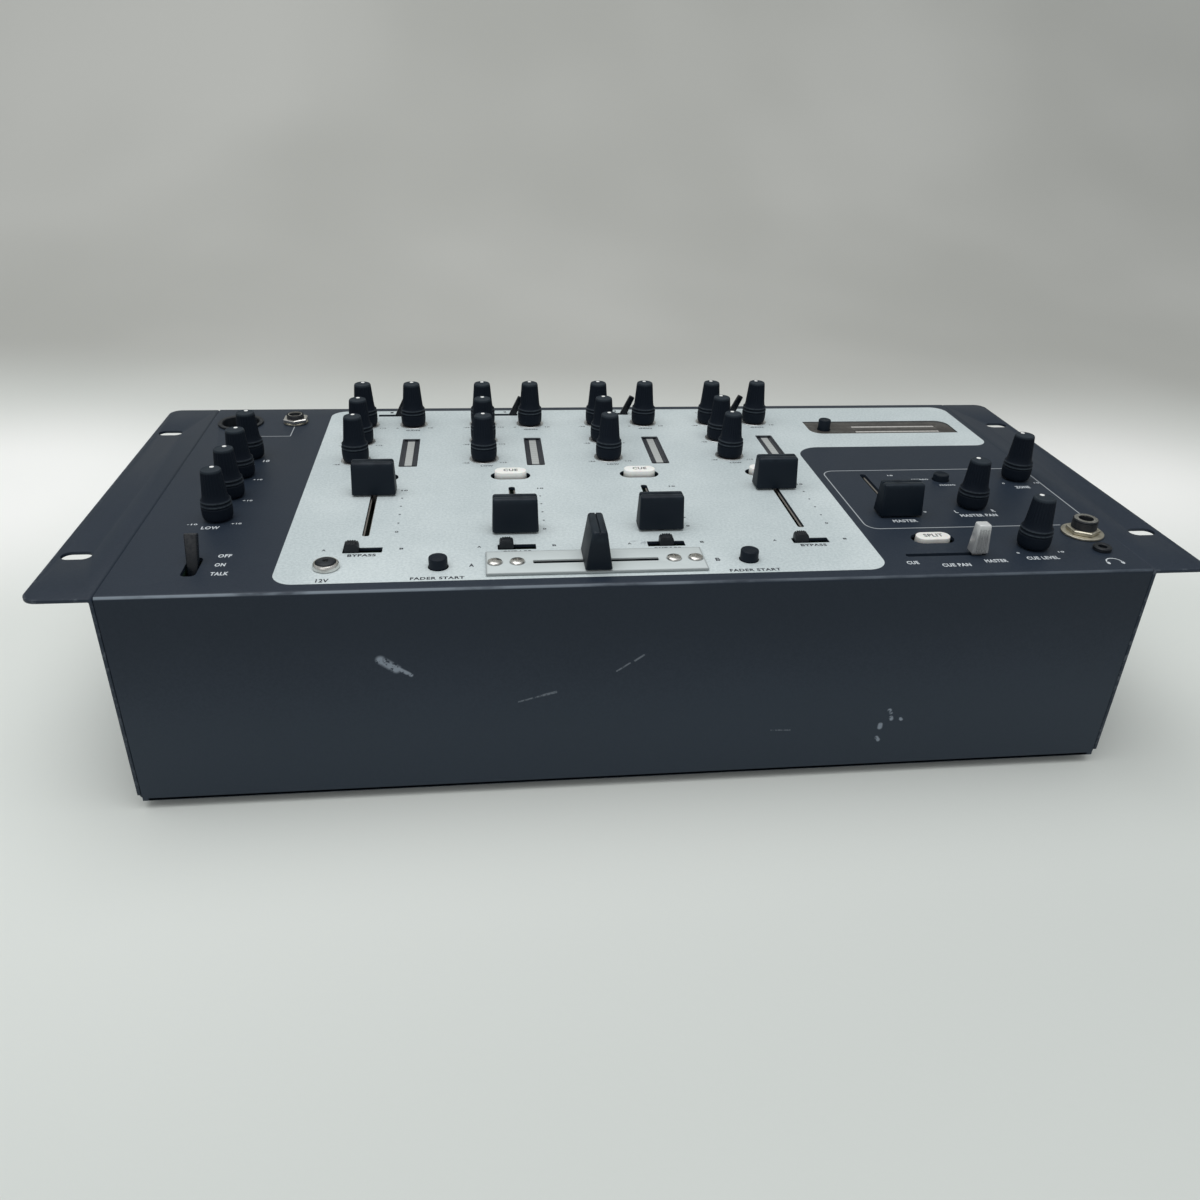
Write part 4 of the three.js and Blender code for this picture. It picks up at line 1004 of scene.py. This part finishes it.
screw_places = {f"plate_screw_{number}": (x, plate_y) for number, x in enumerate(SCREW_X, 1)}
for piece in copies(cross_head(3.1 * mm), screw_places).values():
    piece.data.transform(Matrix.Translation((0, 0, PLATE_TOP + 0.02 * mm)))
    fit(piece, "case", "satin_metal", nickel)


# ---- fader caps ----
# Black moulded caps, a wedge with a finger groove along its top, each pressed on a steel blade
# that drops through the slot. The crossfader's cap is the same moulding turned a quarter.
CAP_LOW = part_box("ch1_fader")[1][2] - 15 * mm


def cap_blank(name, length, base, top, low, height):
    """A wedge whose section runs along Y, with a finger groove along the top of its length."""
    high = low + height * mm
    piece = block(name, 0, 0, length * mm, base * mm, low, high)
    pick(piece, "FACE", lambda f: f.normal.z > 0.9)
    bpy.ops.transform.resize(value=(0.955, top / base, 1), center_override=(0, 0, high))
    pick(piece, "EDGE", lambda e: middle(e).z > low + 0.1 * mm)
    bpy.ops.mesh.bevel(offset=1.1 * mm, segments=5, affect="EDGES")
    close(piece)
    cut(piece, [block("cutter", 0, 0, 1.2 * length * mm, 0.55 * mm, high - 0.9 * mm, high + mm)])
    return round_edges(piece, 0.12 * mm, 2, 40)


cap_plastic = Finish("cap_plastic", Specular_IOR_Level=0.22)
rise = (cap_plastic.z - CAP_LOW) / (15 * mm)
handling = cap_plastic.noise(6 * mm, 4)
# Near the top the caps are polished by fingers: less rough there, and painted lighter as a sheen.
polish_and_sheen = rise.between(0.80, 0.98) * handling.between(0.35, 0.65)
cap_plastic.feed(
    Base_Color=cap_plastic.mix(polish_and_sheen * 0.5 + cap_plastic.noise(0.7 * mm, 2).between(0.62, 0.75) * 0.15,
                               (0.0022, 0.0068, 0.0135), (0.015, 0.025, 0.035)),
    Roughness=0.46 - polish_and_sheen * 0.12 + handling * 0.12)
cap_plastic.relief(cap_plastic.noise(0.35 * mm, 3, 0.6), 0.03 * mm, 0.5)
blade_steel = plated("blade_steel", (0.42, 0.42, 0.42), (0.28, 0.28, 0.28), 0.35)

for name, piece in copies(
        cap_blank("cap", 20.2, 10.3, 6.8, CAP_LOW, 15),
        {f"{node}_cap": centre_of(node) for node in FADERS}).items():
    node = name.replace("_cap", "")
    fit(piece, node, "cap_black", cap_plastic, node)
blade = block("blade", 0, 0, 1.6 * mm, 4 * mm, PANEL - 9.5 * mm, PANEL + 2 * mm)
pick(blade, "FACE", lambda f: f.normal.z < -0.9)
bpy.ops.mesh.bevel(offset=0.5 * mm, segments=2, affect="EDGES")
close(blade)
for name, piece in copies(blade, {f"{node}_blade": centre_of(node) for node in FADERS}).items():
    fit(piece, name.replace("_blade", ""), "satin_metal", blade_steel)

cross_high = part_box("crossfader")[1][2]
cross = cap_blank("crossfader_cap", 20.8, 11.2, 6, cross_high - 16.6 * mm, 16.6)
pick(cross, "FACE", lambda f: True)
bpy.ops.transform.rotate(value=pi / 2, orient_axis="Z", center_override=(0, 0, 0))
close(cross)
cross.data.transform(Matrix.Translation((*centre_of("crossfader"), 0)))
fit(cross, "crossfader", "cap_black", cap_plastic, "crossfader")
cross_blade = block("crossfader_blade", *centre_of("crossfader"), 4 * mm, 1.6 * mm,
                    PANEL - 9.5 * mm, PANEL + 4 * mm)
round_edges(cross_blade, 0.3 * mm, 2)
fit(cross_blade, "crossfader", "satin_metal", blade_steel)

# ---- cue pan slider ----
# A tall cap of smoky clear plastic, ribbed at front and back, on a short blade.
pan_x, pan_y = centre_of("cue_pan_slider")
pan_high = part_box("cue_pan_slider")[1][2]
pan = block("cue_pan_cap", pan_x, pan_y, 7.8 * mm, 5.6 * mm, pan_high - 13.5 * mm, pan_high)
pick(pan, "FACE", lambda f: f.normal.z > 0.9)
bpy.ops.transform.resize(value=(0.70, 0.86, 1), center_override=(pan_x, pan_y, pan_high))
round_edges(pan, 0.8 * mm, 4, 40)
flutes = [begin("cutter", "cylinder", vertices=12, radius=0.45 * mm, depth=12 * mm,
                location=(pan_x + offset * mm, pan_y + side * 2.72 * mm, pan_high - 8.2 * mm),
                rotation=(side * radians(1.7), 0, 0))
          for offset in (-1.8, -0.6, 0.6, 1.8) for side in (-1, 1)]
cut(pan, flutes)
round_edges(pan, 0.1 * mm, 2, 40)
smoky = Finish("smoky_clear_plastic", IOR=1.49, Transmission_Weight=0.25, Coat_Roughness=0.1)
# Painted light and shade: the cap is coloured dark low down and light at its top, where the lamp falls on
# it.
top_light_bottom_shade = ((smoky.z - PANEL) / (14 * mm)).between(0.55, 1.0)
smoky.feed(
    Base_Color=smoky.mix(top_light_bottom_shade * 0.8 + smoky.noise(2 * mm, 3) * 0.2,
                         (0.30, 0.31, 0.32), (0.76, 0.78, 0.78)),
    Roughness=0.14 + smoky.noise(1.2 * mm, 3) * 0.16,
    Coat_Weight=0.6 + smoky.noise(3 * mm) * 0.3)
smoky.relief(smoky.noise(1.0 * mm), 0.03 * mm, 0.3)
fit(pan, "cue_pan_slider", "slider_silver", smoky, "cue_pan_slider")
pan_blade = block("cue_pan_blade", pan_x, pan_y, 4 * mm, 1.6 * mm, PANEL - 9.5 * mm, PANEL + 1.6 * mm)
round_edges(pan_blade, 0.3 * mm, 2)
fit(pan_blade, "cue_pan_slider", "satin_metal", blade_steel)

# ---- levers ----
# Flat black bats on pivots under the panel: four source levers that tip sideways, and the talk
# lever, broader and springing back from its front position.


def bat(name, x, y, root, tip, thickness, length, pivot):
    piece = block(name, x, y, root * mm, thickness * mm, PANEL - pivot * mm, PANEL + (length - pivot) * mm)
    pick(piece, "FACE", lambda f: f.normal.z > 0.9)
    bpy.ops.transform.resize(value=(tip / root, 0.86, 1), center_override=(x, y, PANEL))
    close(piece)
    return round_edges(piece, 0.55 * mm, 4, 40)


def lean(piece, degrees, axis, x, y, pivot):
    pick(piece, "FACE", lambda f: True)
    bpy.ops.transform.rotate(value=radians(degrees), orient_axis=axis,
                             center_override=(x, y, PANEL - pivot * mm))
    return close(piece)


gloss = Finish("gloss_black_plastic", Specular_IOR_Level=0.34)
gloss.feed(
    Base_Color=gloss.mix(gloss.noise(3 * mm, 4), (0.0015, 0.0032, 0.0060), (0.0045, 0.0075, 0.0115)),
    Roughness=0.26 + gloss.noise(1.5 * mm, 4).between(0.45, 0.75) * 0.25)
gloss.relief(gloss.noise(2 * mm, 2), 0.03 * mm, 0.25)
TOGGLE_Y = spot(0, 96.8)[1]
for channel in CHANNELS:
    node = f"ch{channel}_source_toggle"
    lever = bat(f"{node}_bat", FADER_X[channel], TOGGLE_Y, 4.3, 3.1, 2.5, 21.4, 9)
    fit(lean(lever, -25, "Y", FADER_X[channel], TOGGLE_Y, 9), node, "moulded_black", gloss, node)
talk_x, talk_y = spot(-184, -87)
talk = bat("talk_lever", talk_x, talk_y, 4.3, 5.3, 3.1, 18.9, 6)
fit(lean(talk, 20, "X", talk_x, talk_y, 6), "talk_toggle", "moulded_black", gloss, "talk_toggle")

# ---- assign switches ----
# Small slide switches: a domed actuator, ribbed across for the fingertip, over a stem.
ASSIGNS = [f"ch{channel}_assign_switch" for channel in CHANNELS]
assign_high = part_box(ASSIGNS[0])[1]
knuckle = block("knuckle", 0, 0, 6.0 * mm, 4.1 * mm, PANEL - 0.55 * mm, assign_high[2])
pick(knuckle, "EDGE", lambda e: runs_along(e, 1) and middle(e).z > PANEL + mm)
bpy.ops.mesh.bevel(offset=2.2 * mm, segments=6, affect="EDGES", profile=0.6)
close(knuckle)
cut(knuckle, [begin("cutter", "cylinder", vertices=8, radius=0.26 * mm, depth=6 * mm,
                    rotation=(pi / 2, 0, 0), location=(x * mm, 0, assign_high[2] - drop * mm))
              for x, drop in ((-1.9, 0.35), (-0.95, 0.02), (0, 0), (0.95, 0.02), (1.9, 0.35))])
round_edges(knuckle, 0.10 * mm, 2, 50)
for name, piece in copies(knuckle, {f"{node}_knuckle": centre_of(node) for node in ASSIGNS}).items():
    node = name.replace("_knuckle", "")
    fit(piece, node, "moulded_black", moulded, node)
stem = block("stem", 0, 0, 2.9 * mm, 2.9 * mm, PANEL - 9.4 * mm, PANEL - 0.3 * mm)
round_edges(stem, 0.25 * mm, 2)
for name, piece in copies(stem, {f"{node}_stem": centre_of(node) for node in ASSIGNS}).items():
    fit(piece, name.replace("_stem", ""), "moulded_black", moulded)

# ---- push buttons ----
# White oval caps with their word printed on top, and round black caps, each on a square stem.
white = Finish("button_white", Subsurface_Weight=0.08, Subsurface_Scale=0.001)
soil = white.noise(2.5 * mm, 4, 0.6)
# Painted shade: each white cap darkens towards the panel, down into its well.
skirt = 1.0 - ((white.z - PANEL) / mm).between(-0.6, 2.4)
white.feed(
    Base_Color=white.mix(skirt * 0.75 + soil.between(0.5, 0.8) * 0.12,
                         (0.86, 0.86, 0.83), (0.36, 0.36, 0.345)),
    Roughness=0.34 + soil * 0.16)
white.relief(white.noise(0.6 * mm), 0.02 * mm, 0.3)
oval_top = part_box("ch1_cue_button")[1][2]
oval = round_uprights(block("oval", 0, 0, 16 * mm, 7.8 * mm, PANEL - 4.5 * mm, oval_top), 3.88 * mm, 14)
pick(oval, "FACE", lambda f: f.normal.z > 0.9)
bpy.ops.transform.resize(value=(0.975, 0.955, 1), center_override=(0, 0, oval_top))
bpy.ops.mesh.bevel(offset=0.4 * mm, segments=4, affect="EDGES")
close(oval)
button_ink = Finish("button_ink")
button_ink.feed(
    Base_Color=button_ink.mix(button_ink.noise(0.6 * mm, 3).between(0.4, 0.65),
                              (0.07, 0.075, 0.08), (0.20, 0.205, 0.21)),
    Roughness=0.5 + button_ink.noise(0.5 * mm) * 0.2)
for name, piece in copies(oval, {f"{node}_cap": centre_of(node) for node in OVALS}).items():
    node = name.replace("_cap", "")
    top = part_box(node)[1][2]
    pick(piece, "VERT", lambda v: v.co.z > PANEL)
    bpy.ops.transform.translate(value=(0, 0, top - oval_top))
    close(piece)
    fit(piece, node, "button_white", white, node)
    word, width = ("SPLIT", 8.8) if node.startswith("split") else ("CUE", 7.0)
    text = letters(word, *centre_of(node), width, 3.0, top + 0.02 * mm)
    text.name = text.data.name = f"{node}_word"
    fit(text, node, "button_white", button_ink)
button_stem = block("stem", 0, 0, 2.9 * mm, 2.9 * mm, PANEL - 9.5 * mm, PANEL - 4.4 * mm)
round_edges(button_stem, 0.25 * mm, 2)
ROUNDS = {"fader_start_a_button": 3.9, "fader_start_b_button": 3.9, "mono_stereo_button": 3.9,
          "meter_mode_button": 3.5}
stem_places = {f"{node}_stem": centre_of(node) for node in [*OVALS, *ROUNDS]}
for name, piece in copies(button_stem, stem_places).items():
    fit(piece, name.replace("_stem", ""), "moulded_black", moulded)
for node, radius in ROUNDS.items():
    top = (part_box(node)[1][2] - PANEL) / mm
    cap = turned(f"{node}_cap", *centre_of(node), at_panel([
        (radius - 0.1, -4.5), (radius - 0.05, top - 0.7), (radius - 0.2, top - 0.25),
        (radius - 0.6, top - 0.04), (radius - 1.0, top), (radius - 1.3, top - 0.12), (0.3, top - 0.2)]), 40)
    fit(cap, node, "moulded_black", cap_plastic, node)

# ---- knobs ----
# Soft-touch black knobs moulded over the pot shafts: a bulging skirt with two raised rings, a
# slender ribbed grip, and a flat top with a white index dot. A pale washer lies under each
# channel knob.
KNOB_SIDES = 72
knob = turned("knob", 0, 0, at_panel([
    (3.0, -9), (3.0, 0.6), (5.3, 0.6), (6.05, 0.9), (6.40, 1.7), (6.56, 3.0), (6.62, 4.4), (6.62, 6.3),
    (6.20, 6.6), (6.20, 7.0), (6.64, 7.25), (6.64, 7.75), (6.15, 8.0), (5.95, 8.3), (5.95, 8.75),
    (6.42, 9.0), (6.42, 9.45), (5.9, 9.8), (5.60, 10.6), (5.38, 11.8), (5.22, 13.4), (4.50, 21.9),
    (4.36, 22.8), (4.15, 23.25), (3.9, 23.38), (3.5, 23.34), (3.3, 23.2), (0.4, 23.2)]), KNOB_SIDES)
pick(knob, "VERT", lambda v: 13.2 * mm < v.co.z - PANEL < 22.2 * mm
     and round(Vector((1, 0)).angle_signed(v.co.xy) / (2 * pi / KNOB_SIDES)) % 3 == 0)
bpy.ops.transform.resize(value=(0.94, 0.94, 1), center_override=(0, 0, PANEL))
close(knob)

soft_touch = Finish("soft_touch_rubber", Specular_IOR_Level=0.17)
height = (soft_touch.z - PANEL) / mm
lint = soft_touch.noise(1.2 * mm, 5, 0.8)
# The two raised rings are painted lighter: partly rubbed wear, partly a painted highlight along each ring.
ring_wear_and_highlight = (1.0 - abs(height - 7.5).between(0.2, 0.42)).most(1.0 - abs(height - 9.22).between(0.18, 0.4))
top_face = height.between(23.0, 23.2)
lip = height.between(21.9, 22.9) - top_face * 0.4
pale = (top_face * (0.10 + lint * 0.40)).most(ring_wear_and_highlight * (0.22 + lint.between(0.35, 0.6) * 0.4))
pale = pale.most(lip * 0.25).most(lint.between(0.62, 0.78) * 0.22)
soft_touch.feed(
    Base_Color=soft_touch.mix(pale, (0.0022, 0.0058, 0.0122), (0.066, 0.085, 0.100)),
    Roughness=0.58 + lint * 0.2 - ring_wear_and_highlight * 0.12)
soft_touch.relief(soft_touch.noise(0.4 * mm, 3, 0.7), 0.03 * mm, 0.6)
index_paint = Finish("index_paint")
index_paint.feed(
    Base_Color=index_paint.mix(index_paint.noise(0.4 * mm), (0.86, 0.87, 0.86), (0.72, 0.73, 0.72)),
    Roughness=0.45 + index_paint.noise(0.3 * mm) * 0.2)
washer_plate = plated("washer_plate", (0.62, 0.63, 0.63), (0.45, 0.46, 0.46), 0.3)

LARGE = {f"{node}_{part}": 1.07 for node in ("master_pan_knob", "zone_level_knob", "cue_level_knob")
         for part in ("grip", "index")}
for name, piece in copies(knob, {f"{node}_grip": centre_of(node) for node in KNOBS}, LARGE).items():
    node = name.replace("_grip", "")
    fit(piece, node, "soft_touch_black", soft_touch, node, smooth=28)
index = turned("index", 0, 2.55 * mm, at_panel([(0.95, 23.1), (0.95, 23.34), (0.8, 23.39)]), 16)
for name, piece in copies(index, {f"{node}_index": centre_of(node) for node in KNOBS}, LARGE).items():
    fit(piece, name.replace("_index", ""), "soft_touch_black", index_paint)
washer = ring("washer", 0, 0, 7.5, 4.2, 0.02, 0.4, 40, 0.12)
washer_places = {f"{node}_washer": centre_of(node) for node in KNOBS if node.startswith("ch")}
for name, piece in copies(washer, washer_places).items():
    fit(piece, "case", "nickel_plate", washer_plate)

# ---- rear sockets ----
# Phono pairs, balanced outputs and line jacks, soldered to one upright board behind the rear wall
# and reaching out through it; white and red inserts mark left and right.


def facing_rear(piece, x, z):
    """Lays an upright piece modelled at the origin towards the rear, at a place on the rear face."""
    piece.data.transform(Matrix.Translation((x, REAR_Y, z)) @ Matrix.Rotation(radians(-90), 4, "X"))
    return piece


def rear_turned(name, x, z, profile, sides=32):
    return facing_rear(turned(name, 0, 0, [(r * mm, h * mm) for r, h in profile], sides), x, z)


board = block("jack_board", -62 * mm, REAR_Y - 10.3 * mm, 270 * mm, 1.6 * mm, 20 * mm, 66 * mm)
round_edges(board, 0.2 * mm, 2)
fit(board, "case", "circuit_board", board_resin, "rear_jack_board")
phono_white, phono_red = Finish("phono_white"), Finish("phono_red")
phono_white.feed(
    Base_Color=phono_white.mix(phono_white.noise(1 * mm), (0.72, 0.71, 0.67), (0.60, 0.59, 0.55)),
    Roughness=0.4 + phono_white.noise(1 * mm) * 0.2)
phono_red.feed(
    Base_Color=phono_red.mix(phono_red.noise(1 * mm), (0.42, 0.02, 0.02), (0.30, 0.015, 0.015)),
    Roughness=0.4 + phono_red.noise(1 * mm) * 0.2)
for row, z in enumerate(PHONO_Z):
    for column, x in enumerate(PHONO_X):
        where = f"{'lower' if row == 0 else 'upper'}_{column + 1}"
        housing = rear_turned(f"phono_housing_{where}", x, z, [
            (5.1, -9.4), (5.3, -9.2), (5.3, 0.2), (5.0, 0.5), (4.2, 0.5), (4.15, 0.3)], 28)
        fit(housing, "case", "moulded_black", moulded)
        shell = rear_turned(f"phono_shell_{where}", x, z, [
            (4.1, 0.3), (4.1, 7.6), (3.8, 7.95), (3.5, 7.95), (3.3, 7.6), (3.3, 1.0)], 28)
        fit(shell, "case", "nickel_plate", nickel)
        insert = rear_turned(f"phono_insert_{where}", x, z, [
            (3.28, 0.9), (3.28, 7.2), (3.0, 7.4), (1.9, 7.4), (1.7, 7.2), (1.65, 1.4)], 24)
        fit(insert, "case", "moulded_black", phono_red if row == 0 else phono_white)
for number, x in enumerate(OUTPUT_X, 1):
    shell = rear_turned(f"balanced_output_shell_{number}", x, REAR_ROW_Z, [
        (10.7, -9.4), (10.9, -9.2), (10.9, 0.3), (10.6, 0.6), (8.8, 0.6), (8.4, 0.3), (8.4, -7)], 40)
    fit(shell, "case", "nickel_plate", nickel)
    for pin in range(3):
        angle = radians(90 + 120 * pin)
        contact = rear_turned(f"balanced_output_{number}_pin_{pin + 1}", x + 3.8 * mm * cos(angle),
                              REAR_ROW_Z + 3.8 * mm * sin(angle), [
                                  (1.1, -7.2), (1.1, -1.6), (0.9, -1.1), (0.4, -0.9)], 16)
        fit(contact, "case", "nickel_plate", nickel)
for number, x in enumerate(LINE_JACK_X, 1):
    barrel = rear_turned(f"line_jack_barrel_{number}", x, REAR_ROW_Z, [
        (4.6, -9.4), (4.6, 0.4), (4.45, 0.7), (4.6, 1.0), (4.45, 1.3), (4.6, 1.6), (4.45, 1.9), (4.6, 2.2),
        (4.45, 2.5), (4.6, 2.8), (4.45, 3.1), (4.6, 3.4), (4.6, 4.5), (4.2, 5.0), (3.6, 5.0), (3.25, 4.6),
        (3.25, -15)], 32)
    fit(barrel, "case", "moulded_black", moulded)
    body = round_edges(block(f"line_jack_body_{number}", x, REAR_Y - 17.5 * mm, 14 * mm, 12.4 * mm,
                             REAR_ROW_Z - 6 * mm, REAR_ROW_Z + 6 * mm), 0.5 * mm)
    fit(body, "case", "moulded_black", moulded)

# ---- mains inlet ----
# A moulded inlet with three flat blades, its flange screwed to the rear wall at both sides.
inlet = round_edges(block("mains_inlet_flange", INLET_X, REAR_Y + 1.35 * mm, 50 * mm, 2.1 * mm,
                          INLET_Z - 13 * mm, INLET_Z + 13 * mm), 0.6 * mm)
shroud = block("shroud", INLET_X, REAR_Y - 9.8 * mm, 30 * mm, 20.4 * mm,
               INLET_Z - 11.5 * mm, INLET_Z + 11.5 * mm)
modify(inlet, "BOOLEAN", operation="UNION", solver="EXACT", object=shroud)
bpy.data.objects.remove(shroud, do_unlink=True)
mouth = block("cutter", INLET_X, REAR_Y - 5 * mm, 25 * mm, 18 * mm, INLET_Z - 8.5 * mm, INLET_Z + 8.5 * mm)
pick(mouth, "EDGE", lambda e: runs_along(e, 1) and middle(e).z > INLET_Z)
bpy.ops.mesh.bevel(offset=4 * mm, segments=1, affect="EDGES")
cut(inlet, [close(mouth)])
round_edges(inlet, 0.25 * mm, 2, 50)
fit(inlet, "case", "moulded_black", moulded, "mains_inlet")
for number, (dx, dz) in enumerate(((-7, -1), (0, 3.5), (7, -1)), 1):
    contact = block(f"mains_blade_{number}", INLET_X + dx * mm, REAR_Y - 7 * mm, 2 * mm, 13 * mm,
                    INLET_Z + (dz - 2) * mm, INLET_Z + (dz + 2) * mm)
    fit(round_edges(contact, 0.4 * mm), "case", "nickel_plate", nickel)
for side in (-1, 1):
    head = rear_turned(f"mains_screw_{'left' if side < 0 else 'right'}", INLET_X + side * 20 * mm, INLET_Z, [
        (2.8, 2.2), (2.8, 2.3), (2.4, 2.36), (1.2, 2.39)], 28)
    fit(head, "case", "satin_metal", nickel)

# ---- case screws ----
# Black-plated domed screws that tie the cover's returns to the tray's side walls, and three along
# the top of the rear wall.
black_zinc = plated("black_zinc", (0.16, 0.17, 0.18), (0.09, 0.095, 0.10), 0.34)
WALL_SCREWS = {}
for sx, side in ((-1, "left"), (1, "right")):
    for end, y in (("front", -98), ("middle", 0), ("rear", 98)):
        turn = Matrix.Rotation(radians(sx * 90), 4, "Y")
        WALL_SCREWS[f"{side}_screw_{end}"] = Matrix.Translation(
            (sx * WALL_X, MIDDLE_Y + y * mm, 52 * mm)) @ turn
for number, x in enumerate((-190, 0, 190), 1):
    WALL_SCREWS[f"rear_screw_{number}"] = Matrix.Translation(
        (x * mm, REAR_Y, 84 * mm)) @ Matrix.Rotation(radians(-90), 4, "X")
for name, piece in copies(cross_head(3.4 * mm), {name: (0, 0) for name in WALL_SCREWS}).items():
    piece.data.transform(WALL_SCREWS[name])
    fit(piece, "case", "satin_metal", black_zinc)
